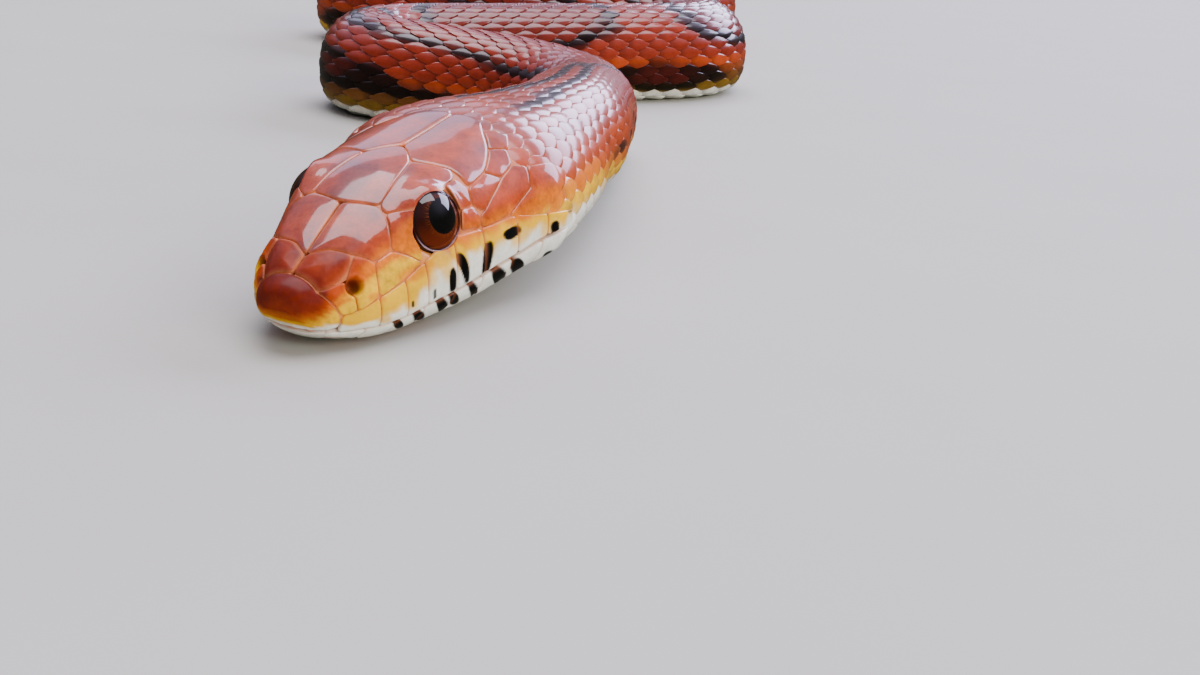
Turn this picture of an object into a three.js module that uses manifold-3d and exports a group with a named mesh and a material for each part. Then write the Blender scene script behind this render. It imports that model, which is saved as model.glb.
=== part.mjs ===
import * as THREE from 'three';
import { mergeVertices } from 'three/addons/utils/BufferGeometryUtils.js';
import Module from 'manifold-3d';

// A corn snake at life size, in millimetres, +Z up, resting on the floor z = 0.
// Its head and neck reach forward from two tight bends, and the rest lies in a loose coil behind.
// Places on the snake are given by the distance from the tip of the snout along its axis,
// and by the height above the axis, or the angle round it from the top of the back, left positive.
// The origin is on the floor, under the middle of the whole snake.

const LENGTH = 1200;
const VENT = 1010;
const GAP = 0.3;
const SNOUT = { x: -19.375, y: -239.275 };

// Head: its heading in plan, how far it climbs towards the nape, its roll and its lowest point.
const HEAD_HEADING = 69.3;
const HEAD_SLOPE = 7;
const HEAD_ROLL = -2.5;
const HEAD_RISE = -0.7;
const HEAD_STRAIGHT = 22;
const HEAD_END = 28;
const NECK_DOWN = 82.5;
const ROLL_GONE = 82;

// Bends of the axis in plan: where each starts, its length, and its turn in degrees, left positive.
const BENDS = [
  { start: 33.41, length: 16.83, turn: 18.16 },
  { start: 61.49, length: 36.56, turn: 81.42 },
  { start: 91.57, length: 35.35, turn: -138.58 },
  { start: 144.68, length: 55, turn: 138.9 },
  { start: 212.68, length: 58, turn: -165 },
  { start: 268.68, length: 78, turn: 118 },
  { start: 372.68, length: 80, turn: -22 },
  { start: 434.68, length: 60, turn: 14 },
];

// The coil: where it starts, its first radius, and how far each turn lies inside the last.
const COIL = { start: 504.68, radius: 73.5, pitch: 22.4, least: 6 };

// Cross-sections: half width, top, widest height, bottom, and how square the back and the belly are.
const SECTIONS = [
  { at: 0, half: 0, top: 4.1, waist: 4.1, bottom: 4.1, back: 2.3, belly: 2.2 },
  { at: 0.25, half: 1.35, top: 4.85, waist: 3.7, bottom: 3.1, back: 2.3, belly: 2.2 },
  { at: 0.8, half: 1.95, top: 5.15, waist: 3.3, bottom: 2.4, back: 2.3, belly: 2.1 },
  { at: 1.6, half: 2.55, top: 5.4, waist: 3.0, bottom: 1.45, back: 2.35, belly: 2.15 },
  { at: 3, half: 3.67, top: 6.1, waist: 2.8, bottom: 0.7, back: 2.4, belly: 2.2 },
  { at: 5, half: 4.72, top: 7.2, waist: 2.6, bottom: 0.1, back: 2.5, belly: 2.3 },
  { at: 7.5, half: 5.45, top: 8.4, waist: 2.5, bottom: -0.25, back: 2.6, belly: 2.3 },
  { at: 10.5, half: 6.25, top: 9.35, waist: 2.7, bottom: -0.35, back: 2.7, belly: 2.55 },
  { at: 14, half: 7.0, top: 9.75, waist: 3.0, bottom: -0.4, back: 2.6, belly: 2.8 },
  { at: 18, half: 8.0, top: 9.95, waist: 3.5, bottom: -0.3, back: 2.5, belly: 2.7 },
  { at: 22, half: 9.0, top: 10.15, waist: 4.0, bottom: -0.25, back: 2.4, belly: 2.8 },
  { at: 25, half: 8.85, top: 10.0, waist: 4.0, bottom: -0.25, back: 2.3, belly: 2.7 },
  { at: 28.5, half: 8.35, top: 9.6, waist: 3.75, bottom: -0.4, back: 2.25, belly: 2.4 },
  { at: 33, half: 7.45, top: 9.0, waist: 3.4, bottom: -0.45, back: 2.2, belly: 2.5 },
  { at: 40, half: 5.75, top: 8.8, waist: 3.9, bottom: -0.45, back: 2.15, belly: 2.9 },
  { at: 60, half: 5.3, top: 9.6, waist: 4.6, bottom: -0.4, back: 2.1, belly: 2.8 },
  { at: 100, half: 5.94, top: 11.5, waist: 5.0, bottom: -0.3, back: 2.1, belly: 2.9 },
  { at: 160, half: 6.8, top: 12.8, waist: 5.4, bottom: -0.3, back: 2.1, belly: 2.9 },
  { at: 260, half: 8.0, top: 14.7, waist: 6.2, bottom: -0.3, back: 2.1, belly: 2.8 },
  { at: 420, half: 10.0, top: 18.2, waist: 7.6, bottom: -0.3, back: 2.1, belly: 2.8 },
  { at: 600, half: 11.0, top: 20.0, waist: 8.3, bottom: -0.3, back: 2.1, belly: 2.8 },
  { at: 800, half: 10.4, top: 18.8, waist: 7.8, bottom: -0.3, back: 2.1, belly: 2.8 },
  { at: 940, half: 8.6, top: 15.6, waist: 6.5, bottom: -0.25, back: 2.1, belly: 2.8 },
  { at: 1010, half: 6.9, top: 12.4, waist: 5.2, bottom: -0.2, back: 2.1, belly: 2.6 },
  { at: 1090, half: 4.4, top: 8.0, waist: 3.4, bottom: -0.15, back: 2.1, belly: 2.4 },
  { at: 1150, half: 2.4, top: 4.5, waist: 2.0, bottom: -0.1, back: 2.0, belly: 2.2 },
  { at: 1190, half: 1.1, top: 2.1, waist: 0.95, bottom: -0.05, back: 2.0, belly: 2.0 },
  { at: 1200, half: 0, top: 0.5, waist: 0.45, bottom: 0.4, back: 2.0, belly: 2.0 },
];

// Swellings and hollows of the head, alike on both sides: place, angle, spreads and height.
const FORMS = [
  { at: 10.6, angle: 36, long: 3.0, wide: 8, height: 0.28 },
  { at: 5.8, angle: 63, long: 2.0, wide: 13, height: -0.32 },
  { at: 12.5, angle: 84, long: 6.0, wide: 12, height: 0.18 },
  { at: 16.5, angle: 58, long: 3.2, wide: 14, height: -0.14 },
];

// Eyes: the middle of the opening, the way they look (forward, left, up) and their sizes.
const EYE = { at: 9.95, side: 5.2, height: 7.05, radius: 2.7, seen: 1.78, sides: 20, rows: 12 };
const EYE_LOOK = new THREE.Vector3(0.32, 0.9, 0.3).normalize();

const NOSTRIL = { at: 2.9, angle: 61, radius: 0.5, depth: 0.9, sides: 12, rows: 8 };

// The line of the mouth, from the lip at the front to the corner, and down behind the lower jaw.
const MOUTH = [
  { at: -2, height: 2.0 },
  { at: 2, height: 2.0 },
  { at: 4.3, height: 1.8 },
  { at: 6.3, height: 1.85 },
  { at: 8, height: 2.1 },
  { at: 10.5, height: 2.3 },
  { at: 13.2, height: 2.55 },
  { at: 16.8, height: 2.95 },
  { at: 19.7, height: 3.4 },
  { at: 23.2, height: 3.45 },
  { at: 24.6, height: 2.9 },
  { at: 25.8, height: 1.6 },
  { at: 26.4, height: 0 },
  { at: 26.8, height: -3 },
];
const MOUTH_REACH = 12;

// Head shields, by their corners (distance, angle). A pair is mirrored, the others cross the midline.
const SHIELDS = {
  internasal: {
    pair: true,
    corners: [[1.55, 0], [3.0, 0], [3.7, 12], [4.1, 32], [3.4, 41], [2.4, 48], [1.35, 48]],
  },
  prefrontal: {
    pair: true,
    corners: [[3.0, 0], [7.06, 0], [7.6, 19.7], [7.3, 27], [6.7, 38], [6.2, 51], [4.9, 50], [4.1, 32],
      [3.7, 12]],
  },
  frontal: { pair: false, corners: [[7.06, 0], [7.6, 19.7], [10.1, 13.5], [12.6, 9.5], [14.5, 0]] },
  supraocular: {
    pair: true,
    corners: [[7.6, 19.7], [10.1, 13.5], [12.6, 9.5], [13.7, 30], [13.1, 36.6], [11.9, 37], [9.9, 35],
      [8.6, 37], [7.3, 27]],
  },
  parietal: {
    pair: true,
    corners: [[14.5, 0], [12.6, 9.5], [13.7, 30], [13.7, 46], [16.0, 41.6], [18.3, 29], [19.9, 18],
      [21.7, 10], [21.9, 0]],
  },
  prenasal: { pair: true, corners: [[1.35, 48], [2.4, 48], [2.9, 51], [2.95, 72], [2.9, 86], [2.1, 88]] },
  postnasal: {
    pair: true,
    corners: [[2.9, 51], [3.4, 41], [4.1, 33], [4.9, 50], [4.6, 66], [4.3, 79], [2.95, 72]],
  },
  loreal: {
    pair: true,
    corners: [[4.9, 50], [6.2, 51], [7.0, 60], [7.9, 72], [6.2, 76], [4.3, 79], [4.6, 66]],
  },
  preocular: {
    pair: true,
    corners: [[7.3, 27], [8.6, 37], [7.9, 50], [8.1, 65], [7.9, 72], [7.0, 60], [6.2, 51]],
  },
  upper_postocular: { pair: true, corners: [[13.1, 36.6], [13.7, 46], [13.3, 57], [12.1, 56], [11.9, 37]] },
  lower_postocular: { pair: true, corners: [[12.1, 56], [13.3, 57], [13.6, 65], [13.3, 72], [11.6, 68]] },
  temporal_1: { pair: true, corners: [[13.7, 46], [16.0, 41.6], [17.0, 49.5], [14.1, 64], [13.3, 57]] },
  temporal_2: {
    pair: true,
    corners: [[14.1, 64], [17.0, 49.5], [18.7, 45], [19.7, 49.5], [19.0, 63], [16.2, 73], [13.6, 65]],
  },
  temporal_3: { pair: true, corners: [[16.0, 41.6], [18.3, 29], [19.5, 34], [18.7, 45], [17.0, 49.5]] },
  temporal_4: { pair: true, corners: [[18.3, 29], [19.9, 18], [21.2, 26], [19.8, 34.4]] },
  temporal_5: {
    pair: true,
    corners: [[19.0, 63], [19.7, 49.5], [22.2, 55], [22.4, 70], [19.6, 82], [16.6, 80], [16.2, 73]],
  },
};

// Upper and lower labials meet at these places along the lip. The upper ones reach up to these angles.
const LIP_SEAMS = [2.1, 4.3, 6.3, 8.0, 10.5, 13.3, 16.7, 19.7, 23.0];
const LABIAL_TOPS = [88, 79, 76, 72, 68, 72, 74, 82, 88];
const LOWER_SEAMS = [1.7, 3.6, 5.6, 7.8, 10.4, 13.2, 16.2, 19.3, 22.4];
// In degrees round the head: how far the labials stand off the lip line, and how deep the lower ones are.
const LIP = { above: 2, below: 5, depth: 17, bow: 2 };

const ROSTRAL = { crown: 1.5, side: 1.35, sides: 14 };
const SLIVER = 0.03;
const SHIELD = { sink: 0.55, edge: 0.02, rise: 0.24, crown: 0.32, seam: 0.13, bevel: 0.3 };

// Lengths of the body: where each ends. They part where the axis runs straight.
const LENGTHS = [
  { name: 'neck', to: 87.5 },
  { name: 'forebody_1', to: 131 },
  { name: 'forebody_2', to: 201 },
  { name: 'forebody_3', to: 268 },
  { name: 'midbody_1', to: 358 },
  { name: 'midbody_2', to: 470 },
  { name: 'midbody_3', to: 560 },
  { name: 'midbody_4', to: 650 },
  { name: 'midbody_5', to: 740 },
  { name: 'hindbody_1', to: 830 },
  { name: 'hindbody_2', to: 920 },
  { name: 'hindbody_3', to: VENT },
  { name: 'tail_base', to: 1100 },
  { name: 'tail_tip', to: LENGTH },
];
const TAIL_POINT = 1.5;
const BODY_SIDES = 16;
const STATION_STEP = 11;
const STATION_TURN = 10;

const HEAD_SIDES = 40;
const SNOUT_POINT = 0.1;
const HEAD_STATIONS = [
  0.25, 0.8, 1.6, 2.4, 3.4, 4.6, 6, 7.4, 8.8, 10.2, 11.6, 13, 14.6, 16.4, 18.4, 20.4, 22.4, 24.4, 26.4,
  HEAD_END,
];

const RUSTY_ORANGE = new THREE.MeshStandardMaterial({ color: 0xa84a34, roughness: 0.3, metalness: 0 });
const BRICK_RED = new THREE.MeshStandardMaterial({ color: 0x9c4534, roughness: 0.35, metalness: 0 });
const IVORY = new THREE.MeshStandardMaterial({ color: 0xdcdcc4, roughness: 0.35, metalness: 0 });
const EYE_BROWN = new THREE.MeshStandardMaterial({ color: 0x3a1a10, roughness: 0.05, metalness: 0 });

const RAD = Math.PI / 180;
const NEAR = { along: 0.02, round: 0.5 };
const clamp = THREE.MathUtils.clamp;
const smootherstep = THREE.MathUtils.smootherstep;

// The share of a bend that lies behind a place: curvature rises and falls as a raised cosine.
function turned(share) {
  const x = clamp(share, 0, 1);
  return x - Math.sin(2 * Math.PI * x) / (2 * Math.PI);
}

// Heading of the axis in plan, in radians: the bends, and an even spiral from the start of the coil.
function heading(s) {
  let degrees = HEAD_HEADING;
  for (const bend of BENDS) {
    degrees += bend.turn * turned((s - bend.start) / bend.length);
  }
  const past = Math.max(s - COIL.start, 0);
  const radius = Math.sqrt(Math.max(COIL.radius ** 2 - (COIL.pitch * past) / Math.PI, COIL.least ** 2));
  return degrees * RAD - ((COIL.radius - radius) * 2 * Math.PI) / COIL.pitch;
}

// Plan of the axis, added up in small steps.
const PLAN_STEP = 0.25;
const plan = [new THREE.Vector2(SNOUT.x, SNOUT.y)];
for (let s = 0; s < LENGTH; s += PLAN_STEP) {
  const mid = heading(s + PLAN_STEP / 2);
  const last = plan[plan.length - 1];
  plan.push(new THREE.Vector2(last.x + Math.cos(mid) * PLAN_STEP, last.y + Math.sin(mid) * PLAN_STEP));
}

// Height of the axis: the straight climb of the head, let down to the floor behind the neck.
function lift(s) {
  return (HEAD_RISE + s * Math.tan(HEAD_SLOPE * RAD)) * (1 - smootherstep(s, HEAD_STRAIGHT, NECK_DOWN));
}

// The axis at a place: a point, and unit vectors tailwards, to the snake's left and up.
function axis(s) {
  const at = clamp(s / PLAN_STEP, 0, plan.length - 1.001);
  const low = Math.floor(at);
  const point = plan[low].clone().lerp(plan[low + 1], at - low);
  const slope = (lift(s + NEAR.along) - lift(s - NEAR.along)) / (2 * NEAR.along);
  const turn = heading(s);
  const tail = new THREE.Vector3(Math.cos(turn), Math.sin(turn), slope).normalize();
  const level = new THREE.Vector3(Math.sin(turn), -Math.cos(turn), 0);
  const roll = HEAD_ROLL * RAD * (1 - clamp((s - HEAD_STRAIGHT) / (ROLL_GONE - HEAD_STRAIGHT), 0, 1));
  const left = level.applyAxisAngle(tail, -roll);
  const up = new THREE.Vector3().crossVectors(left, tail);
  return { point: new THREE.Vector3(point.x, point.y, lift(s)), tail, left, up };
}

// A point off the axis, to the left and up, never under the floor.
function place(s, left, up) {
  const here = axis(s);
  const point = here.point.addScaledVector(here.left, left).addScaledVector(here.up, up);
  point.z = Math.max(point.z, 0);
  return point;
}

// A smooth curve through the section table that never overshoots, run over the root of the distance.
function monotone(key) {
  const x = SECTIONS.map((row) => Math.sqrt(row.at));
  const y = SECTIONS.map((row) => row[key]);
  const slope = x.slice(1).map((value, i) => (y[i + 1] - y[i]) / (value - x[i]));
  const tangent = x.map((value, i) => {
    if (i === 0) return slope[0];
    if (i === x.length - 1) return slope[i - 1];
    if (slope[i - 1] * slope[i] <= 0) return 0;
    const before = x[i] - x[i - 1];
    const after = x[i + 1] - x[i];
    const near = 2 * after + before;
    const far = after + 2 * before;
    return (near + far) / (near / slope[i - 1] + far / slope[i]);
  });
  return (s) => {
    const r = Math.sqrt(clamp(s, 0, LENGTH));
    let i = 0;
    while (i < x.length - 2 && r >= x[i + 1]) i += 1;
    const h = x[i + 1] - x[i];
    const t = (r - x[i]) / h;
    const rise = t * t * (3 - 2 * t);
    return (1 - rise) * y[i] + rise * y[i + 1]
      + t * (1 - t) ** 2 * h * tangent[i] - t * t * (1 - t) * h * tangent[i + 1];
  };
}
const half = monotone('half');
const top = monotone('top');
const waist = monotone('waist');
const bottom = monotone('bottom');
const backPower = monotone('back');
const bellyPower = monotone('belly');

// The skin at an angle round the axis: a superellipse, squarer under the belly, with the head's forms.
function skin(s, angle) {
  const across = Math.sin(angle * RAD);
  const upward = Math.cos(angle * RAD);
  const power = 2 / (upward > 0 ? backPower(s) : bellyPower(s));
  const reach = upward > 0 ? top(s) - waist(s) : waist(s) - bottom(s);
  const left = Math.sign(across) * Math.abs(across) ** power * half(s);
  const up = Math.sign(upward) * Math.abs(upward) ** power * reach;
  let swell = 0;
  for (const form of FORMS) {
    const along = (s - form.at) / form.long;
    const round = (Math.abs(angle) - form.angle) / form.wide;
    swell += form.height * Math.exp(-(along * along + round * round) / 2);
  }
  const grow = 1 + swell / Math.max(Math.hypot(left, up), 1);
  return place(s, left * grow, waist(s) + up * grow);
}

// Outward normal of the skin, from its slopes along and round the body.
function outward(s, angle) {
  const along = skin(s + NEAR.along, angle).sub(skin(s - NEAR.along, angle));
  const round = skin(s, angle + NEAR.round).sub(skin(s, angle - NEAR.round));
  return round.cross(along).normalize();
}

// A point at a small height over the skin, or under it.
function overSkin(s, angle, height) {
  const point = skin(s, angle).addScaledVector(outward(s, angle), height);
  point.z = Math.max(point.z, 0);
  return point;
}

// A ball whose rows and sides are set on new places: each row is a ring, and the first and last a point.
function shapedBall(sides, rows, where) {
  const ball = new THREE.SphereGeometry(1, sides, rows);
  const position = ball.attributes.position;
  const uv = ball.attributes.uv;
  for (let i = 0; i < position.count; i += 1) {
    const row = Math.round((1 - uv.getY(i)) * rows);
    const pole = row === 0 || row === rows;
    const share = pole ? 0 : (Math.round(uv.getX(i) * sides) % sides) / sides;
    const point = where(row, share);
    position.setXYZ(i, point.x, point.y, point.z);
  }
  return asShell(ball);
}

// A closed shell with only its positions, its shared points merged and its faces pointing out.
function asShell(geometry) {
  geometry.deleteAttribute('normal');
  geometry.deleteAttribute('uv');
  const shell = mergeVertices(geometry, 1e-5);
  const index = shell.index;
  const position = shell.attributes.position;
  const a = new THREE.Vector3();
  const b = new THREE.Vector3();
  const c = new THREE.Vector3();
  const origin = new THREE.Vector3().fromBufferAttribute(position, 0);
  let volume = 0;
  for (let i = 0; i < index.count; i += 3) {
    a.fromBufferAttribute(position, index.getX(i)).sub(origin);
    b.fromBufferAttribute(position, index.getX(i + 1)).sub(origin);
    c.fromBufferAttribute(position, index.getX(i + 2)).sub(origin);
    volume += a.dot(b.cross(c));
  }
  if (volume < 0) {
    for (let i = 0; i < index.count; i += 3) {
      const first = index.getX(i);
      index.setX(i, index.getX(i + 1));
      index.setX(i + 1, first);
    }
  }
  return shell;
}

// A length of the snake between flat ends, from its rings of skin. A first ring at the snout is a point.
function skinLength(stations, sides, turnSides, tip = null, end = null) {
  const first = stations[0];
  const last = stations[stations.length - 1];
  const rows = stations.length + 1;
  return shapedBall(sides, rows, (row, share) => {
    if (row === 0) return tip === null ? place(first, 0, waist(first)) : place(tip, 0, waist(tip));
    if (row === rows) return end === null ? place(last, 0, waist(last)) : place(end, 0, waist(end));
    const angle = (share + turnSides / sides) * 360;
    return skin(stations[row - 1], angle > 180 ? angle - 360 : angle);
  });
}

const wasm = await Module();
wasm.setup();

function toSolid(shell) {
  const vertProperties = new Float32Array(shell.attributes.position.array);
  const triVerts = new Uint32Array(shell.index.array);
  return new wasm.Manifold(new wasm.Mesh({ numProp: 3, vertProperties, triVerts }));
}

function toGeometry(solid) {
  const mesh = solid.getMesh();
  const geometry = new THREE.BufferGeometry();
  geometry.setAttribute('position', new THREE.BufferAttribute(new Float32Array(mesh.vertProperties), 3));
  geometry.setIndex(new THREE.BufferAttribute(new Uint32Array(mesh.triVerts), 1));
  return geometry;
}

// The separate closed surfaces of a solid, the largest first.
function bySize(solid) {
  return solid.decompose().sort((a, b) => b.volume() - a.volume());
}

// A solid without its slivers, and with nothing but its largest closed surface.
function cleaned(solid) {
  return bySize(solid.simplify(SLIVER))[0];
}

// One raised shield: its corners drawn in by the seam, a bevelled rim, a low crown and a sunk root.
function shield(corners) {
  const at = corners.reduce((sum, corner) => sum + corner[0], 0) / corners.length;
  const angle = corners.reduce((sum, corner) => sum + corner[1], 0) / corners.length;
  const core = skin(at, angle);
  const ring = (inset, height, i) => {
    const reach = skin(corners[i][0], corners[i][1]).distanceTo(core);
    const share = 1 - inset / Math.max(reach, 2 * inset);
    return overSkin(
      THREE.MathUtils.lerp(at, corners[i][0], share),
      THREE.MathUtils.lerp(angle, corners[i][1], share),
      height,
    );
  };
  return shieldBody(corners.length, ring, (height) => overSkin(at, angle, height));
}

// The rostral shield caps the tip of the snout, out to a rim at one distance for each angle.
function snoutCap() {
  const crowned = (angle) => Math.max(Math.cos(angle * RAD), 0) ** 2;
  const rim = (angle) => THREE.MathUtils.lerp(ROSTRAL.side, ROSTRAL.crown, crowned(angle));
  const ring = (inset, height, i) => {
    const angle = (i / ROSTRAL.sides) * 360;
    return overSkin(rim(angle) - inset, angle > 180 ? angle - 360 : angle, height);
  };
  return shieldBody(ROSTRAL.sides, ring, (height) => inHead(-height, 0, top(0)));
}

function shieldBody(sides, ring, middle) {
  return shapedBall(sides, 4, (row, share) => {
    const i = Math.round(share * sides);
    if (row === 0) return middle(SHIELD.crown);
    if (row === 1) return ring(SHIELD.seam + SHIELD.bevel, SHIELD.rise, i);
    if (row === 2) return ring(SHIELD.seam, SHIELD.edge, i);
    if (row === 3) return ring(SHIELD.seam, -SHIELD.sink, i);
    return middle(-SHIELD.sink);
  });
}

const mirrored = (corners) => corners.map(([at, angle]) => [at, -angle]);

// A shield that crosses the midline is drawn round it, from its left half.
function bothSides(corners) {
  const inner = corners.filter(([, angle]) => angle > 0).reverse();
  return [...corners, ...mirrored(inner)];
}

// Angle of the lip line on the skin, from its height at that place.
function lipAngle(s) {
  const next = MOUTH.findIndex((point) => point.at >= s);
  const from = MOUTH[next - 1];
  const to = MOUTH[next];
  const height = THREE.MathUtils.mapLinear(s, from.at, to.at, from.height, to.height);
  const drop = clamp((waist(s) - height) / (waist(s) - bottom(s)), 0, 1);
  return 90 + Math.asin(drop ** (bellyPower(s) / 2)) / RAD;
}

// Shields of the upper head, in pairs or across the midline, and the row of upper labials.
function upperShields() {
  const all = [snoutCap()];
  for (const { pair, corners } of Object.values(SHIELDS)) {
    if (pair) all.push(shield(corners), shield(mirrored(corners)));
    else all.push(shield(bothSides(corners)));
  }
  for (let i = 0; i < LIP_SEAMS.length - 1; i += 1) {
    const from = LIP_SEAMS[i];
    const to = LIP_SEAMS[i + 1];
    const mid = (from + to) / 2;
    const corners = [
      [from, LABIAL_TOPS[i]],
      [mid, (LABIAL_TOPS[i] + LABIAL_TOPS[i + 1]) / 2],
      [to, LABIAL_TOPS[i + 1]],
      [to, lipAngle(to) - LIP.above],
      [mid, lipAngle(mid) - LIP.above],
      [from, lipAngle(from) - LIP.above],
    ];
    all.push(shield(corners), shield(mirrored(corners)));
  }
  return all;
}

// The row of lower labials, under the line of the mouth.
function lowerShields() {
  const all = [];
  for (let i = 0; i < LOWER_SEAMS.length - 1; i += 1) {
    const from = LOWER_SEAMS[i];
    const to = LOWER_SEAMS[i + 1];
    const mid = (from + to) / 2;
    const corners = [
      [from, lipAngle(from) + LIP.below],
      [mid, lipAngle(mid) + LIP.below],
      [to, lipAngle(to) + LIP.below],
      [to, lipAngle(to) + LIP.depth],
      [mid, lipAngle(mid) + LIP.depth + LIP.bow],
      [from, lipAngle(from) + LIP.depth],
    ];
    all.push(shield(corners), shield(mirrored(corners)));
  }
  return all;
}

// A point in the head's own straight frame, which the floor does not clip.
function inHead(s, left, up) {
  const here = axis(SNOUT_POINT);
  return here.point
    .addScaledVector(here.tail, s - SNOUT_POINT)
    .addScaledVector(here.left, left)
    .addScaledVector(here.up, up);
}

// The thin curved wall that parts the lower jaw from the head along the mouth and behind the jaw.
function mouthCut() {
  const along = MOUTH.map((point, i) => {
    const before = MOUTH[Math.max(i - 1, 0)];
    const after = MOUTH[Math.min(i + 1, MOUTH.length - 1)];
    const side = new THREE.Vector2(before.height - after.height, after.at - before.at).normalize();
    return { point: new THREE.Vector2(point.at, point.height), side };
  });
  const upper = along.map(({ point, side }) => point.clone().addScaledVector(side, GAP / 2));
  const lower = along.map(({ point, side }) => point.clone().addScaledVector(side, -GAP / 2));
  const strip = new THREE.Shape([...upper, ...lower.reverse()]);
  const wall = new THREE.ExtrudeGeometry(strip, { depth: 2 * MOUTH_REACH, steps: 1, bevelEnabled: false });
  const position = wall.attributes.position;
  for (let i = 0; i < position.count; i += 1) {
    const point = inHead(position.getX(i), position.getZ(i) - MOUTH_REACH, position.getY(i));
    position.setXYZ(i, point.x, point.y, point.z);
  }
  return asShell(wall);
}

// An eye is a ball that shows as a low dome, with its middle behind the opening.
function eyeCentre(side) {
  const depth = Math.sqrt(EYE.radius ** 2 - EYE.seen ** 2);
  return inHead(
    EYE.at + depth * EYE_LOOK.x,
    side * (EYE.side - depth * EYE_LOOK.y),
    EYE.height - depth * EYE_LOOK.z,
  );
}

function eyeball(side, radius) {
  const centre = eyeCentre(side);
  const ball = new THREE.SphereGeometry(radius, EYE.sides, EYE.rows);
  ball.translate(centre.x, centre.y, centre.z);
  return asShell(ball);
}

// A nostril is a short pit, egg-shaped, sunk square to the skin.
function nostrilPit(side) {
  const mouth = skin(NOSTRIL.at, side * NOSTRIL.angle);
  const facing = outward(NOSTRIL.at, side * NOSTRIL.angle);
  const pit = new THREE.SphereGeometry(1, NOSTRIL.sides, NOSTRIL.rows);
  pit.scale(NOSTRIL.radius, NOSTRIL.radius, NOSTRIL.depth);
  pit.applyQuaternion(new THREE.Quaternion().setFromUnitVectors(new THREE.Vector3(0, 0, 1), facing));
  pit.translate(mouth.x, mouth.y, mouth.z);
  return asShell(pit);
}

// The whole head in one skin with its shields, then the mouth, the sockets and the nostrils are cut.
function buildHead() {
  const shields = [...upperShields(), ...lowerShields()].map(toSolid);
  const skull = toSolid(skinLength(HEAD_STATIONS, HEAD_SIDES, 0, 0));
  let whole = wasm.Manifold.union([skull, ...shields]);
  for (const side of [1, -1]) {
    whole = whole.subtract(toSolid(eyeball(side, EYE.radius + GAP)));
    whole = whole.subtract(toSolid(nostrilPit(side)));
  }
  const [upper, lower] = bySize(whole.subtract(toSolid(mouthCut())));
  return { upper: toGeometry(cleaned(upper)), lower: toGeometry(cleaned(lower)) };
}

function named(name, geometry, material) {
  const mesh = new THREE.Mesh(geometry, material);
  mesh.name = name;
  return mesh;
}

const snake = new THREE.Group();

const head = buildHead();
snake.add(named('head', head.upper, RUSTY_ORANGE));
snake.add(named('lower_jaw', head.lower, IVORY));
snake.add(named('eye_left', eyeball(1, EYE.radius), EYE_BROWN));
snake.add(named('eye_right', eyeball(-1, EYE.radius), EYE_BROWN));

// Rings stand closer together where the axis turns, and every length ends a gap short of the next.
let from = HEAD_END;
for (const { name, to } of LENGTHS) {
  const start = from + (name === 'neck' ? GAP : GAP / 2);
  const stop = to === LENGTH ? LENGTH - TAIL_POINT : to - GAP / 2;
  let sweep = 0;
  for (let s = start; s < stop; s += 1) sweep += Math.abs(heading(s + 1) - heading(s)) / RAD;
  const count = Math.ceil(Math.max((stop - start) / STATION_STEP, sweep / STATION_TURN));
  const stations = Array.from({ length: count + 1 }, (_, i) => start + ((stop - start) * i) / count);
  const geometry = skinLength(stations, BODY_SIDES, 0.5, null, to === LENGTH ? LENGTH : null);
  snake.add(named(name, geometry, BRICK_RED));
  from = to;
}

export default snake;
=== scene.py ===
"""A corn snake at life size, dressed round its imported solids.

The head and neck reach forward from three bends, and the rest of the body lies in a flat coil
behind them. One skin stands for all the flesh. Over it lie the head shields, the labials, the
body scales and the belly scutes, each a thin raised plate, and all carry the same markings.
"""

import logging
from dataclasses import dataclass, field
from enum import Enum

import bpy
import numpy as np
from mathutils import Matrix, Vector


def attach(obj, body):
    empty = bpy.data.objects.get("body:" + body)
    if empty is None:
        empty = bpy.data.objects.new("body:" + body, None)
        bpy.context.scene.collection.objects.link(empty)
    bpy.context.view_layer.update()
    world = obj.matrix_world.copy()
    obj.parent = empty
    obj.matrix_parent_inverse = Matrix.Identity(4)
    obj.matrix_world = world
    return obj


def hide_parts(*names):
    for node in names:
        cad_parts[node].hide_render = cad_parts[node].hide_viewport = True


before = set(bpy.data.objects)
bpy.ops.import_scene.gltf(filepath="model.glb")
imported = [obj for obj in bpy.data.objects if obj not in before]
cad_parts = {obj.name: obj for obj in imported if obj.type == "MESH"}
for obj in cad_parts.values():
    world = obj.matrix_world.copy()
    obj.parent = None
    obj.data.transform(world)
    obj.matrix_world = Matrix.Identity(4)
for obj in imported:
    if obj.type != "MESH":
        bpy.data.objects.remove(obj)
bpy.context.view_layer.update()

log = logging.getLogger("corn_snake")
Array = np.ndarray
Floats = tuple[float, ...]
Triple = tuple[float, float, float]
Corners = tuple[tuple[float, float], ...]

# Shapes are worked out in millimetres, and put into Blender in metres.
MM = 0.001
SEED = 20
# Distances from the snout: where the groove of the mouth ends, and where the head does.
MOUTH_END = 24.6
HEAD_END = 34.0


def ramp(x: Array, low: float, high: float) -> Array:
    """A smooth step: 0 under low, 1 over high, and 3t^2 - 2t^3 between."""
    t = np.clip((x - low) / (high - low), 0.0, 1.0)
    return t * t * (3.0 - 2.0 * t)


def fade(x: Array, low: float, high: float) -> Array:
    """The smooth step turned over: 1 under low and 0 over high."""
    return 1.0 - ramp(x, low, high)


def wrapped(value: Array, half: float) -> Array:
    """Values brought to within half a turn of zero, where half a turn measures so much."""
    return np.remainder(value + half, 2.0 * half) - half


def unit(vectors: Array) -> Array:
    """Vectors divided by their own length."""
    return vectors / np.maximum(np.linalg.norm(vectors, axis=-1, keepdims=True), 1e-12)


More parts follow.
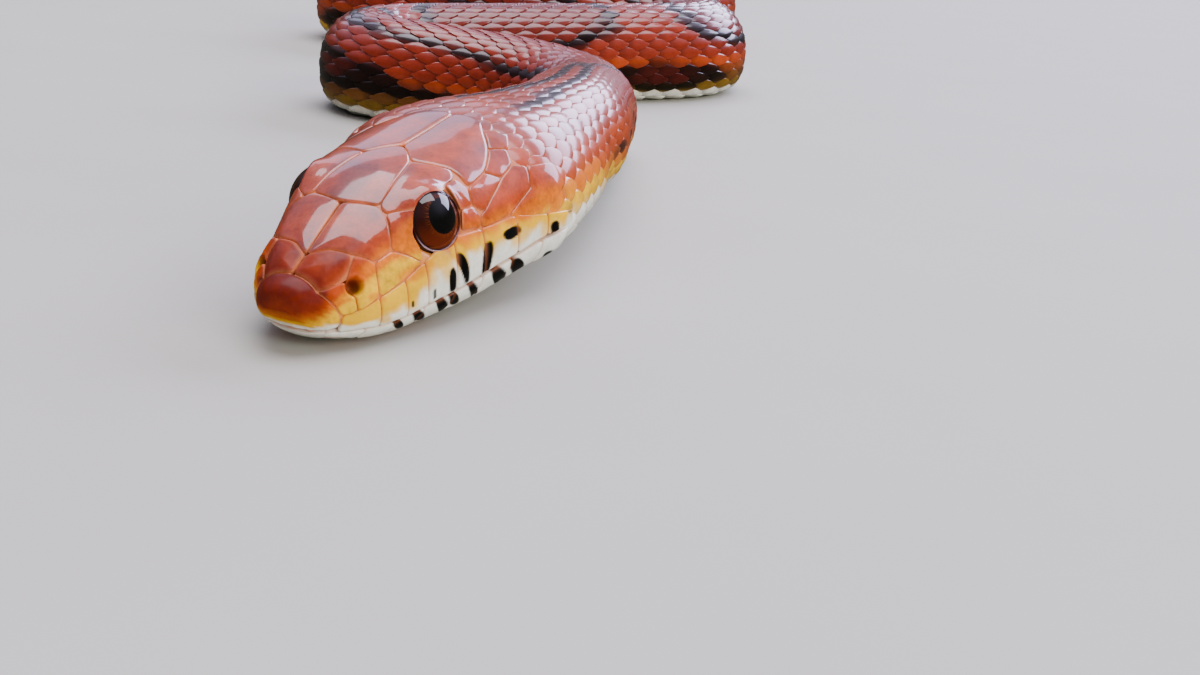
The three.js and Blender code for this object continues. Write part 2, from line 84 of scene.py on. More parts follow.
def linear(code: str) -> Array:
    """The linear colour of a six-figure hex code."""
    value = np.array([int(code[i : i + 2], 16) for i in (0, 2, 4)]) / 255.0
    return np.where(value <= 0.04045, value / 12.92, ((value + 0.055) / 1.055) ** 2.4)


def monotone(x: Array, y: Array, at: Array) -> Array:
    """A smooth curve through points that never overshoots.

    Each stretch is a cubic whose end slopes are the weighted harmonic mean of the slopes of the
    chords on either side, or flat where these differ in sign.

    Args:
        x: Where the points are, rising.
        y: The values there.
        at: Where the curve is wanted.

    Returns:
        The values of the curve.
    """
    step = np.diff(x)
    chord = np.diff(y) / step
    near = 2.0 * step[1:] + step[:-1]
    far = step[1:] + 2.0 * step[:-1]
    same = chord[:-1] * chord[1:] > 0.0
    before = np.where(same, chord[:-1], 1.0)
    after = np.where(same, chord[1:], 1.0)
    middle = np.where(same, (near + far) / (near / before + far / after), 0.0)
    slope = np.concatenate([chord[:1], middle, chord[-1:]])
    i = np.clip(np.searchsorted(x, at, side="right") - 1, 0, len(x) - 2)
    t = (at - x[i]) / step[i]
    rise = t * t * (3.0 - 2.0 * t)
    bend = t * (1.0 - t) ** 2 * slope[i] - t * t * (1.0 - t) * slope[i + 1]
    return (1.0 - rise) * y[i] + rise * y[i + 1] + step[i] * bend


@dataclass(frozen=True)
class Bend:
    """One bend of the axis in plan: its start, length, and turn in degrees, left positive."""

    start: float
    length: float
    turn: float


@dataclass(frozen=True)
class Section:
    """A cross-section: half width, top, widest height, bottom, and the powers of back and belly."""

    at: float
    half: float
    top: float
    waist: float
    bottom: float
    back: float
    belly: float


@dataclass(frozen=True)
class Swelling:
    """A swelling or hollow on both sides of the head: its place, angle, spreads and height."""

    at: float
    angle: float
    long: float
    wide: float
    height: float


BENDS = (
    Bend(33.41, 16.83, 18.16),
    Bend(61.49, 36.56, 81.42),
    Bend(91.57, 35.35, -138.58),
    Bend(144.68, 55, 138.9),
    Bend(212.68, 58, -165),
    Bend(268.68, 78, 118),
    Bend(372.68, 80, -22),
    Bend(434.68, 60, 14),
)

SECTIONS = (
    Section(0, 0, 4.1, 4.1, 4.1, 2.3, 2.2),
    Section(0.25, 1.35, 4.85, 3.7, 3.1, 2.3, 2.2),
    Section(0.8, 1.95, 5.15, 3.3, 2.4, 2.3, 2.1),
    Section(1.6, 2.55, 5.4, 3.0, 1.45, 2.35, 2.15),
    Section(3, 3.67, 6.1, 2.8, 0.7, 2.4, 2.2),
    Section(5, 4.72, 7.2, 2.6, 0.1, 2.5, 2.3),
    Section(7.5, 5.45, 8.4, 2.5, -0.25, 2.6, 2.3),
    Section(10.5, 6.25, 9.35, 2.7, -0.35, 2.7, 2.55),
    Section(14, 7.0, 9.75, 3.0, -0.4, 2.6, 2.8),
    Section(18, 8.0, 9.95, 3.5, -0.3, 2.5, 2.7),
    Section(22, 9.0, 10.15, 4.0, -0.25, 2.4, 2.8),
    Section(25, 8.85, 10.0, 4.0, -0.25, 2.3, 2.7),
    Section(28.5, 8.35, 9.6, 3.75, -0.4, 2.25, 2.4),
    Section(33, 7.45, 9.0, 3.4, -0.45, 2.2, 2.5),
    Section(40, 5.75, 8.8, 3.9, -0.45, 2.15, 2.9),
    Section(60, 5.3, 9.6, 4.6, -0.4, 2.1, 2.8),
    Section(100, 5.94, 11.5, 5.0, -0.3, 2.1, 2.9),
    Section(160, 6.8, 12.8, 5.4, -0.3, 2.1, 2.9),
    Section(260, 8.0, 14.7, 6.2, -0.3, 2.1, 2.8),
    Section(420, 10.0, 18.2, 7.6, -0.3, 2.1, 2.8),
    Section(600, 11.0, 20.0, 8.3, -0.3, 2.1, 2.8),
    Section(800, 10.4, 18.8, 7.8, -0.3, 2.1, 2.8),
    Section(940, 8.6, 15.6, 6.5, -0.25, 2.1, 2.8),
    Section(1010, 6.9, 12.4, 5.2, -0.2, 2.1, 2.6),
    Section(1090, 4.4, 8.0, 3.4, -0.15, 2.1, 2.4),
    Section(1150, 2.4, 4.5, 2.0, -0.1, 2.0, 2.2),
    Section(1190, 1.1, 2.1, 0.95, -0.05, 2.0, 2.0),
    Section(1200, 0, 0.5, 0.45, 0.4, 2.0, 2.0),
)

SWELLINGS = (
    Swelling(10.6, 36, 3.0, 8, 0.28),
    Swelling(5.8, 63, 2.0, 13, -0.32),
    Swelling(12.5, 84, 6.0, 12, 0.18),
    Swelling(16.5, 58, 3.2, 14, -0.14),
)


@dataclass(frozen=True)
class Place:
    """The axis at some distances: points, and unit vectors tailwards, leftwards and up."""

    point: Array
    tail: Array
    left: Array
    up: Array


@dataclass
class SnakeForm:
    """The axis and the skin of the snake, as functions of distance from the snout and angle.

    The angle is in degrees, from the top of the back, left positive. The axis turns by the sum of
    its bends, and then by an even spiral. A section is a superellipse with the head's swellings.
    """

    length: float = 1200.0
    vent: float = 1010.0
    snout: tuple[float, float] = (-19.375, -239.275)
    muzzle_at: float = 0.1
    head_heading: float = 69.3
    head_slope: float = 7.0
    head_roll: float = -2.5
    head_rise: float = -0.7
    head_straight: float = 22.0
    neck_down: float = 82.5
    roll_gone: float = 82.0
    coil_start: float = 504.68
    coil_radius: float = 73.5
    coil_pitch: float = 22.4
    coil_least: float = 6.0
    plan_step: float = 0.25
    along_step: float = 0.02
    round_step: float = 0.5

    def __post_init__(self) -> None:
        """Adds up the plan of the axis in small steps, and lays out the section tables."""
        count = int(self.length / self.plan_step)
        self._grid = np.arange(count + 1) * self.plan_step
        turn = self.heading(self._grid[:-1] + self.plan_step / 2)
        self._x, self._y = (
            start + np.concatenate([[0], np.cumsum(way(turn))]) * self.plan_step
            for start, way in zip(self.snout, (np.cos, np.sin))
        )
        self._root = np.sqrt([row.at for row in SECTIONS])
        keys = ("half", "top", "waist", "bottom", "back", "belly")
        self._table = {
            key: np.array([getattr(row, key) for row in SECTIONS], float) for key in keys
        }

    def heading(self, s: Array) -> Array:
        """Heading in radians: a bend's turn grows as t - sin(2 pi t) / 2 pi, then the coil's."""
        degrees = np.full(np.shape(s), self.head_heading)
        for bend in BENDS:
            t = np.clip((s - bend.start) / bend.length, 0.0, 1.0)
            degrees = degrees + bend.turn * (t - np.sin(2 * np.pi * t) / (2 * np.pi))
        past = np.maximum(s - self.coil_start, 0.0)
        square = self.coil_radius**2 - self.coil_pitch * past / np.pi
        radius = np.sqrt(np.maximum(square, self.coil_least**2))
        return np.radians(degrees) - (self.coil_radius - radius) * 2 * np.pi / self.coil_pitch

    def lift(self, s: Array) -> Array:
        """Height of the axis: the head's straight climb, let down to the floor behind the neck."""
        t = np.clip((s - self.head_straight) / (self.neck_down - self.head_straight), 0.0, 1.0)
        down = t**3 * (t * (6.0 * t - 15.0) + 10.0)
        return (self.head_rise + s * np.tan(np.radians(self.head_slope))) * (1.0 - down)

    def axis(self, s: Array) -> Place:
        """The axis at some distances, rolled a little at the head."""
        turn = self.heading(s)
        step = self.along_step
        slope = (self.lift(s + step) - self.lift(s - step)) / (2 * step)
        x = np.interp(s, self._grid, self._x)
        y = np.interp(s, self._grid, self._y)
        tail = unit(np.stack([np.cos(turn), np.sin(turn), slope], -1))
        level = np.stack([np.sin(turn), -np.cos(turn), np.zeros_like(turn)], -1)
        upright = np.cross(level, tail)
        share = np.clip((s - self.head_straight) / (self.roll_gone - self.head_straight), 0, 1)
        roll = np.radians(self.head_roll) * (1.0 - share)
        left = level * np.cos(roll)[..., None] + upright * np.sin(roll)[..., None]
        return Place(np.stack([x, y, self.lift(s)], -1), tail, left, np.cross(left, tail))

    def section(self, key: str, s: Array) -> Array:
        """One measure of the sections, run over the root of the distance."""
        root = np.sqrt(np.clip(s, 0.0, self.length))
        return monotone(self._root, self._table[key], root)

    def outline(self, s: Array, angle: Array) -> tuple[Array, Array]:
        """How far left of the axis, and over it, the skin lies.

        Args:
            s: Distances from the snout.
            angle: Angles round the axis, in degrees.

        Returns:
            The distances to the left and up.
        """
        across = np.sin(np.radians(angle))
        upward = np.cos(np.radians(angle))
        waist = self.section("waist", s)
        over = upward > 0
        power = 2.0 / np.where(over, self.section("back", s), self.section("belly", s))
        reach = np.where(over, self.section("top", s) - waist, waist - self.section("bottom", s))
        left = np.sign(across) * np.abs(across) ** power * self.section("half", s)
        up = np.sign(upward) * np.abs(upward) ** power * reach
        swell = np.zeros(np.broadcast(s, angle).shape)
        side = np.abs(wrapped(angle, 180.0))
        for form in SWELLINGS:
            far = ((s - form.at) / form.long) ** 2 + ((side - form.angle) / form.wide) ** 2
            swell = swell + form.height * np.exp(-far / 2.0)
        grow = 1.0 + swell / np.maximum(np.hypot(left, up), 1.0)
        return left * grow, waist + up * grow

    def skin(self, s: Array, angle: Array) -> Array:
        """Points of the outer surface, not yet held over the floor."""
        s, angle = np.broadcast_arrays(np.asarray(s, float), np.asarray(angle, float))
        here = self.axis(s)
        left, up = self.outline(s, angle)
        return here.point + here.left * left[..., None] + here.up * up[..., None]

    def outward(self, s: Array, angle: Array) -> Array:
        """Outward normals, from the slopes along and round the body."""
        along = self.skin(s + self.along_step, angle) - self.skin(s - self.along_step, angle)
        around = self.skin(s, angle + self.round_step) - self.skin(s, angle - self.round_step)
        return unit(np.cross(around, along))

    def over(self, s: Array, angle: Array, height: Array, least: Array | float = 0.0) -> Array:
        """Points at a height over the outer surface, held at least so far over the floor."""
        points = self.skin(s, angle) + self.outward(s, angle) * np.asarray(height)[..., None]
        points[..., 2] = np.maximum(points[..., 2], least)
        return points

    def muzzle(self) -> Place:
        """The axis just behind the tip of the snout, whose directions are the head's own."""
        return self.axis(np.array([self.muzzle_at]))

    def in_head(self, s: float, left: float, up: float) -> Array:
        """A point in the head's own straight frame."""
        here = self.muzzle()
        behind = here.point[0] + here.tail[0] * (s - self.muzzle_at)
        return behind + here.left[0] * left + here.up[0] * up


FORM = SnakeForm()


@dataclass
class Girth:
    """Turns a share of the way round, by length on the skin, into an angle.

    The share is 0 on the midline of the back and 1 or -1 on the midline of the belly. Arc lengths
    are added up on a table of sections, and read back by linear interpolation.
    """

    form: SnakeForm
    stations: int = 420
    angles: int = 181
    shares: int = 161

    def __post_init__(self) -> None:
        """Adds up the arcs of every section of the table."""
        self._root = np.linspace(np.sqrt(0.02), np.sqrt(self.form.length - 0.2), self.stations)
        angle = np.linspace(0.0, 180.0, self.angles)
        grid = np.broadcast_arrays((self._root**2)[:, None], angle[None, :])
        left, up = self.form.outline(*grid)
        arc = np.hypot(np.diff(left, axis=1), np.diff(up, axis=1))
        total = np.concatenate([np.zeros((self.stations, 1)), np.cumsum(arc, axis=1)], axis=1)
        even = np.linspace(0.0, 1.0, self.shares)
        self._half = total[:, -1]
        self._angle = np.array([np.interp(even, row / row[-1], angle) for row in total])
        self._back = total / total[:, -1:]

    def _read(self, table: Array, s: Array, column: Array) -> Array:
        """Reads a table between its rows and its columns."""
        root = np.sqrt(np.clip(s, self._root[0] ** 2, self._root[-1] ** 2))
        row = (root - self._root[0]) / (self._root[1] - self._root[0])
        i = np.clip(row.astype(int), 0, table.shape[0] - 2)
        j = np.clip(column.astype(int), 0, table.shape[1] - 2)
        a = row - i
        b = column - j
        low = table[i, j] * (1 - b) + table[i, j + 1] * b
        high = table[i + 1, j] * (1 - b) + table[i + 1, j + 1] * b
        return low * (1 - a) + high * a

    def angle(self, s: Array, share: Array) -> Array:
        """Angles at some shares of the way round, which may run on past the belly's midline."""
        near = wrapped(share, 1.0)
        turns = (share - near) / 2.0
        column = np.abs(near) * (self.shares - 1)
        return np.sign(near) * self._read(self._angle, s, column) + 360.0 * turns

    def share(self, s: Array, angle: Array) -> Array:
        """Shares of the way round at some angles within half a turn of the back."""
        column = np.abs(angle) / 180.0 * (self.angles - 1)
        return np.sign(angle) * self._read(self._back, s, column)

    def half(self, s: Array) -> Array:
        """Length on the skin from the back's midline to the belly's."""
        return np.interp(np.sqrt(np.clip(s, 0, None)), self._root, self._half)


GIRTH = Girth(FORM)

# The line of the mouth: how far behind the snout, and how high over the head's axis.
MOUTH_AT = np.array([-2, 2, 4.3, 6.3, 8, 10.5, 13.2, 16.8, 19.7, 23.2, 24.6, 25.8, 26.4, 26.8])
MOUTH_HEIGHT = np.array([2, 2, 1.8, 1.85, 2.1, 2.3, 2.55, 2.95, 3.4, 3.45, 2.9, 1.6, 0, -3])


def lip_angle(s: Array) -> Array:
    """Angle of the lip line on the skin: the section's power curve turned back at that height."""
    height = np.interp(s, MOUTH_AT, MOUTH_HEIGHT)
    waist = FORM.section("waist", s)
    drop = np.clip((waist - height) / (waist - FORM.section("bottom", s)), 0.0, 1.0)
    return 90.0 + np.degrees(np.arcsin(drop ** (FORM.section("belly", s) / 2.0)))


class Hue(Enum):
    """The colours of the snake, among them an olive of painted shade and a lilac of painted
    reflection.
    """

    ROSE = "9e3a20"
    DARK_RED = "5a1208"
    BRICK = "8a2812"
    RUST = "ae3e0a"
    ORANGE = "dc7006"
    YELLOW = "f6bc02"
    # Painted shade for the underside of the forebody, not a colour of the skin.
    OLIVE = "6c4c0c"
    IVORY = "f6f7e8"
    BLACK = "060505"
    SMOKE = "4e3038"
    # A painted reflection of the sky, used under the eye and on the ring round it.
    LILAC = "a98a98"
    SUTURE = "dc8456"


def painted(ground: Array, hue: Hue, share: Array, tone: float = 1.0) -> Array:
    """One of the snake's colours, darkened to a tone, laid over a ground by a share."""
    share = np.asarray(share)[..., None]
    return ground * (1.0 - share) + linear(hue.value) * tone * share


@dataclass(frozen=True)
class Band:
    """A colour that takes over where the angle passes an edge, which wanders along the body."""

    hue: Hue
    at: Floats
    edge: Floats
    soft: float


@dataclass(frozen=True)
class Spot:
    """A patch of colour: its place, angle, half lengths, lean, strength and sharpness.

    A paired one lies on both sides.
    """

    hue: Hue
    at: float
    angle: float
    long: float
    wide: float
    lean: float = 0.0
    strength: float = 1.0
    sharp: float = 1.0
    paired: bool = True


BANDS = (
    Band(
        Hue.RUST,
        (0, 1.4, 3, 6, 9, 14, 20, 28, 34, 44, 80, 1200),
        (58, 52, 40, 40, 40, 42, 52, 56, 56, 66, 84, 86), 7,
    ),
    Band(
        Hue.ORANGE,
        (0, 1.4, 3, 6, 9, 12, 18, 24, 28, 32, 36, 44, 80, 1200),
        (73, 68, 50, 46, 56, 69, 70, 69, 70, 75, 83, 97, 103, 104), 6,
    ),
    Band(
        Hue.YELLOW,
        (0, 1.4, 3, 6, 9, 12, 16, 20, 24, 28, 32, 36, 40, 46, 80, 1200),
        (89, 82, 66, 61, 70, 76, 79, 80, 80, 81, 84, 91, 98, 105, 109, 111), 4,
    ),
    Band(
        Hue.IVORY,
        (0, 1.4, 3, 4.2, 6, 9, 12, 16, 20, 24, 28, 32, 36, 40, 44, 80, 1200),
        (99, 97, 99, 95, 88, 81, 81, 84, 87, 90, 92, 95, 104, 118, 126, 125, 122), 3,
    ),
)

SPOTS = (
    Spot(Hue.SMOKE, 9.2, -2, 1.6, 5, 0, 0.55, 0.7, paired=False),
    Spot(Hue.SMOKE, 18.2, 0, 1.9, 5, 0, 0.5, 0.7, paired=False),
    Spot(Hue.SMOKE, 20.4, 9, 1.8, 5, 0, 0.6, 0.7, paired=False),
    Spot(Hue.SMOKE, 20.0, -12, 2.2, 7, 0, 0.5, 0.7, paired=False),
    Spot(Hue.RUST, 17.0, 13, 3.2, 9, 0, 0.75, 0.7),
    Spot(Hue.RUST, 12.0, 25, 1.9, 6, 0, 0.8, 0.7),
    Spot(Hue.DARK_RED, 0.7, 0, 0.9, 62, 0, 0.8, 0.6),
    Spot(Hue.DARK_RED, 2.2, 18, 1.2, 22, 0, 0.5, 0.6),
    Spot(Hue.ORANGE, 7.9, 52, 1.2, 9, 0, 0.6, 0.7),
    Spot(Hue.YELLOW, 4.8, 66, 1.9, 6, 0, 0.7, 0.7),
    Spot(Hue.ORANGE, 8.7, 76, 2.2, 3, 0, 0.5, 0.7),
    # Painted reflection: a lilac patch under the eye stands in for the sky's sheen on its lower
    # rim.
    Spot(Hue.LILAC, 9.3, 76, 0.5, 2.5, 0, 0.4, 0.7),
    Spot(Hue.RUST, 2.7, 55, 0.9, 8, 0, 0.6, 0.6),
    Spot(Hue.YELLOW, 3.0, 84, 1.2, 7, 0.02, 0.85, 0.6),
    Spot(Hue.YELLOW, 5.2, 76, 0.9, 6, 0.04, 0.9, 0.6),
    Spot(Hue.ORANGE, 4.1, 78, 0.35, 4, 0.05, 0.6, 0.7),
    Spot(Hue.YELLOW, 4.3, 91, 0.4, 9, 0.03, 0.75, 0.7),
    Spot(Hue.YELLOW, 6.2, 82, 0.5, 9, 0.04, 0.75, 0.6),
    Spot(Hue.YELLOW, 7.9, 80, 0.55, 5, 0.05, 0.7, 0.6),
    Spot(Hue.ORANGE, 7.0, 74, 0.9, 4, 0.04, 0.6, 0.6),
    Spot(Hue.YELLOW, 9.4, 80, 0.5, 6, 0.05, 0.75, 0.6),
    Spot(Hue.YELLOW, 10.75, 80, 0.42, 6, 0.05, 0.9, 0.7),
    Spot(Hue.YELLOW, 13.3, 80, 0.4, 4, 0.03, 0.8, 0.7),
    Spot(Hue.YELLOW, 16.8, 84, 0.9, 4, 0, 0.8, 0.7),
    Spot(Hue.YELLOW, 19.8, 86, 0.8, 5, 0, 0.8, 0.7),
    Spot(Hue.BLACK, 9.98, 87.8, 0.34, 4.6, 0.015, 1, 3.5),
    Spot(Hue.BLACK, 11.0, 84.8, 0.34, 6.6, 0.055, 1, 3.5),
    Spot(Hue.BLACK, 13.4, 86.2, 0.50, 5.8, -0.03, 1, 3.5),
    Spot(Hue.BLACK, 15.95, 81.8, 0.86, 2.8, 0.08, 1, 3),
    Spot(Hue.BLACK, 8.4, 89.4, 0.13, 1.8, 0, 0.9, 3),
    Spot(Hue.BLACK, 6.6, 89.8, 0.10, 1.2, 0, 0.9, 3),
    Spot(Hue.BLACK, 20.35, 90.5, 0.42, 3.0, 0.05, 1, 3),
    Spot(Hue.BLACK, 22.1, 76, 0.5, 4, 0, 0.85, 1.6),
    Spot(Hue.BLACK, 22.4, 86, 0.45, 2, 0, 0.7, 1.6),
    Spot(Hue.BLACK, 5.85, 112, 0.36, 10, 0.045, 1, 3.5),
    Spot(Hue.BLACK, 7.55, 110, 0.46, 12, 0.045, 1, 3.5),
    Spot(Hue.BLACK, 9.5, 107, 0.46, 13, 0.045, 1, 3.5),
    Spot(Hue.BLACK, 10.5, 105, 0.42, 11, 0.045, 1, 3.5),
    Spot(Hue.BLACK, 12.5, 106, 0.42, 13, 0.055, 1, 3.5),
    Spot(Hue.BLACK, 15.2, 107, 0.66, 14, 0.06, 1, 3.5),
    Spot(Hue.BLACK, 17.1, 108, 0.62, 13, 0.06, 1, 3.5),
    Spot(Hue.BLACK, 20.6, 116, 0.5, 8, 0.05, 1, 3),
)


@dataclass(frozen=True)
class Saddles:
    """The dark-edged saddles of the back, the blotches of the flanks, and the marks of the neck.

    The first mark is a spearhead on the neck, whose edge runs at the angles given. After it the
    saddles come one to a period, each a rounded block in distance and share of the way round.
    """

    spear_at: Floats = (
        20, 26, 29, 32, 36, 42, 48, 52, 56, 60, 66, 72, 78, 84, 88, 92, 96, 100, 104, 108, 112, 115,
    )
    spear_edge: Floats = (
        30, 19, 16, 13, 11, 10, 8, 5, 3, 9, 28, 46, 58, 62, 54, 48, 42, 36, 28, 20, 12, 4,
    )
    line_at: Floats = (26.0, 32.0, 60.0, 80.0, 98.0, 107.0)
    line_width: Floats = (3.5, 6.5, 7.0, 7.0, 7.5, 10.5)
    flecks: tuple[tuple[float, float, float, float], ...] = (
        (36.5, 51.0, 1.2, 4.0), (36.4, 71.0, 1.4, 5.5), (40.2, 89.5, 2.2, 3.5),
        (46.0, 92.0, 2.5, 4.0), (54.0, 84.0, 2.2, 6.0), (61.0, 92.0, 2.5, 6.0),
        (68.0, 84.0, 3.0, 7.0), (76.0, 92.0, 2.5, 5.0),
    )
    core_at: tuple[float, float] = (105.4, 82.0)
    core_size: tuple[float, float] = (2.6, 10.0)
    first: float = 132.5
    period_at: Floats = (110, 170, 300, 950, 1010, 1100, 1200)
    periods: Floats = (40.0, 39.0, 34.0, 31.0, 24.0, 17.0, 12.0)
    half: float = 0.375
    reach: float = 0.41
    rim: float = 0.13
    blotch_lag: float = 0.56
    blotch_half: float = 0.25
    blotch_share: float = 0.595
    blotch_reach: float = 0.095

    def _wander(self, s: Array, share: Array, cycle: float, phase: float) -> Array:
        """A slow wobble of the edges: three sine waves across distance and share."""
        a = np.sin(s / cycle + 7.0 * share + phase)
        b = np.sin(s / (0.43 * cycle) - 11.0 * share + 2.1 * phase)
        c = np.sin(s / (0.21 * cycle) + 19.0 * share + 3.7 * phase)
        return (a + 0.6 * b + 0.4 * c) / 2.0

    def _nearest(self, s: Array, lag: float) -> tuple[Array, Array]:
        """The number of the nearest mark, and the distance past its middle in periods."""
        table = np.arange(self.first, FORM.length + 1.0)
        count = np.cumsum(1.0 / np.interp(table, self.period_at, self.periods))
        ahead = (s - self.first) / self.periods[0]
        phase = np.where(s < self.first, ahead, np.interp(s, table, count)) - lag
        number = np.maximum(np.round(phase), 0.0)
        return number, phase - number - 0.05 * np.sin(number * 2.7 + 9.0 * lag) * (number > 0)

    def _spear(self, colour: Array, s: Array, angle: Array, share: Array) -> Array:
        """The edge of the spearhead, the first blotch of the flank, and flecks on the neck."""
        side = np.abs(angle)
        edge = np.interp(s, self.spear_at, self.spear_edge)
        width = np.interp(s, self.line_at, self.line_width)
        line = np.exp(-(((side - edge) / width) ** 2))
        line = line * ramp(s, 24.5, 26.5) * fade(s, 112.0, 114.5)
        line = line * (0.8 + 0.4 * (0.5 + 0.5 * self._wander(s, share, 4.0, 0.9)))
        colour = painted(colour, Hue.BLACK, 0.95 * ramp(line, 0.3, 0.65))
        upper = np.interp(s, (88, 94, 98, 101, 104, 108), (93, 91, 88, 76, 68, 64))
        lower = np.interp(s, (88, 94, 98, 108), (95, 98, 100, 99))
        flank = ramp(side, upper - 3, upper + 3) * fade(side, lower - 4, lower + 4)
        flank = flank * ramp(s, 88.0, 91.0) * fade(s, 108.0, 111.5)
        colour = painted(colour, Hue.BLACK, 0.96 * flank)
        (at, over), (long, wide) = self.core_at, self.core_size
        core = np.hypot((s - at) / long, (side - over) / wide)
        colour = painted(colour, Hue.DARK_RED, 0.9 * fade(core, 0.5, 1.0))
        for at, over, long, wide in self.flecks:
            fleck = np.hypot((s - at) / long, (side - over) / wide)
            colour = painted(colour, Hue.BLACK, 0.9 * fade(fleck, 0.6, 1.1))
        return colour

    def apply(self, colour: Array, s: Array, angle: Array, share: Array) -> Array:
        """Lays the marks over a ground colour.

        Args:
            colour: The ground, one row for each point.
            s: Distances from the snout.
            angle: Angles round the body.
            share: Shares of the way round.

        Returns:
            The colours with the marks.
        """
        q = np.abs(share)
        number, past = self._nearest(s, 0.0)
        size = 1.0 + 0.06 * np.sin(number * 1.9)
        notch = 1.0 - 0.10 * np.exp(-((q / 0.12) ** 2))
        along = np.abs(past / (self.half * size * notch))
        radius = (along**2.8 + (q / self.reach) ** 3.4) ** (1 / 3.0)
        radius = radius + 0.05 * self._wander(s, share, 9.0, 0.4)
        live = ramp(s, 113.0, 116.0) * fade(s, 1188.0, 1196.0)
        inside = fade(radius, 0.92, 1.02) * live
        border = np.exp(-(((radius - 0.98) / self.rim) ** 2) * 1.2) * live
        colour = painted(colour, Hue.DARK_RED, 0.6 * inside)
        colour = painted(colour, Hue.BLACK, 0.96 * ramp(border, 0.35, 0.8))
        number, past = self._nearest(s, self.blotch_lag)
        wide = (q - self.blotch_share - 0.02 * np.sin(number * 1.3)) / self.blotch_reach
        radius = np.hypot(past / (self.blotch_half * (1.0 + 0.12 * np.sin(number * 2.3))), wide)
        radius = radius + 0.12 * self._wander(s, share, 5.0, 1.9)
        dark = fade(radius, 0.85, 1.1) * live
        core = fade(radius, 0.3, 0.6) * live
        colour = painted(colour, Hue.BLACK, 0.95 * dark)
        colour = painted(colour, Hue.DARK_RED, 0.6 * core)
        return self._spear(colour, s, angle, share)


@dataclass(frozen=True)
class Markings:
    """The colours of the whole snake, as a function of distance and angle.

    Round the tip of the snout the bands follow the height over the axis, given as angles.
    """

    saddles: Saddles = field(default_factory=Saddles)
    tip_heights: Floats = (1.7, 2.1, 2.6, 3.3, 4.2, 5.2)
    tip_angles: Floats = (122, 110, 96, 76, 45, 10)
    smoke: float = 0.34
    rust: float = 0.5
    cover: float = 0.96
    olive_shade_tone: float = 0.6

    def colour(self, s: Array, angle: Array) -> Array:
        """Colours at some places on the skin.

        The ground runs from dusky rose on the crown to brick on the back, clouded on the head by
        products of sine waves. Bands follow down each side, then a painted olive shade along the
        underside of the forebody, then the saddles behind the head, and then the spots of the head,
        one of which is a painted lilac reflection under the eye.

        Args:
            s: Distances from the snout.
            angle: Angles round the body.

        Returns:
            Linear colours, one row for each point.
        """
        angle = wrapped(angle, 180.0)
        side = np.abs(angle)
        share = GIRTH.share(s, angle)
        level = np.interp(FORM.outline(s, angle)[1], self.tip_heights, self.tip_angles)
        front = fade(s, 0.9, 2.4)
        side = side * (1.0 - front) + level * front
        head = fade(s, 24.0, 40.0)
        colour = painted(linear(Hue.ROSE.value), Hue.BRICK, ramp(s, 26.0, 70.0))
        cloud = np.sin(1.1 * s + 0.09 * angle + 1.0) * np.sin(0.7 * s - 0.13 * angle + 2.0)
        cloud = cloud + 0.5 * np.sin(2.3 * s + 0.21 * angle) * np.sin(1.7 * s - 0.17 * side + 0.6)
        colour = painted(colour, Hue.SMOKE, self.smoke * ramp(cloud, 0.1, 0.9) * head)
        colour = painted(colour, Hue.RUST, self.rust * ramp(-cloud, 0.1, 0.9) * head)
        for band in BANDS:
            phase = float(len(band.hue.name))
            wobble = 1.3 * np.sin(1.7 * s + phase + 0.05 * side)
            wobble = wobble + np.sin(4.3 * s + 2.0 * phase - 0.13 * side)
            wobble = wobble + 1.6 * np.sin(0.9 * s - 0.11 * side + phase) * head
            edge = np.interp(s, band.at, band.edge) + wobble
            over = ramp(side, edge - band.soft, edge + band.soft)
            colour = painted(colour, band.hue, self.cover * over)
        # Painted shade: a dark olive laid along the underside of the forebody stands in for the
        # shade of its lower side.
        behind = ramp(s, 60.0, 92.0) * fade(s, 180.0, 260.0) * ramp(side, 88.0, 98.0)
        behind = 0.85 * behind * fade(side, 118.0, 128.0)
        colour = painted(colour, Hue.OLIVE, behind, self.olive_shade_tone)
        colour = self.saddles.apply(colour, s, angle, share)
        for spot in SPOTS:
            gap = side - spot.angle if spot.paired else angle - spot.angle
            along = (s - spot.at - spot.lean * gap) / spot.long
            radius = np.abs(along) ** 2.5 + np.abs(gap / spot.wide) ** 2.5
            mask = fade(radius, 1.0 - 0.5 / spot.sharp, 1.0 + 1.6 / spot.sharp)
            colour = painted(colour, spot.hue, spot.strength * mask)
        return colour


MARKINGS = Markings()
NO_TRIS = np.zeros((0, 3), int)


def placed(name: str, data: bpy.types.ID) -> bpy.types.Object:
    """A new object of some data, in the scene's own collection."""
    thing = bpy.data.objects.new(name, data)
    bpy.context.scene.collection.objects.link(thing)
    return thing


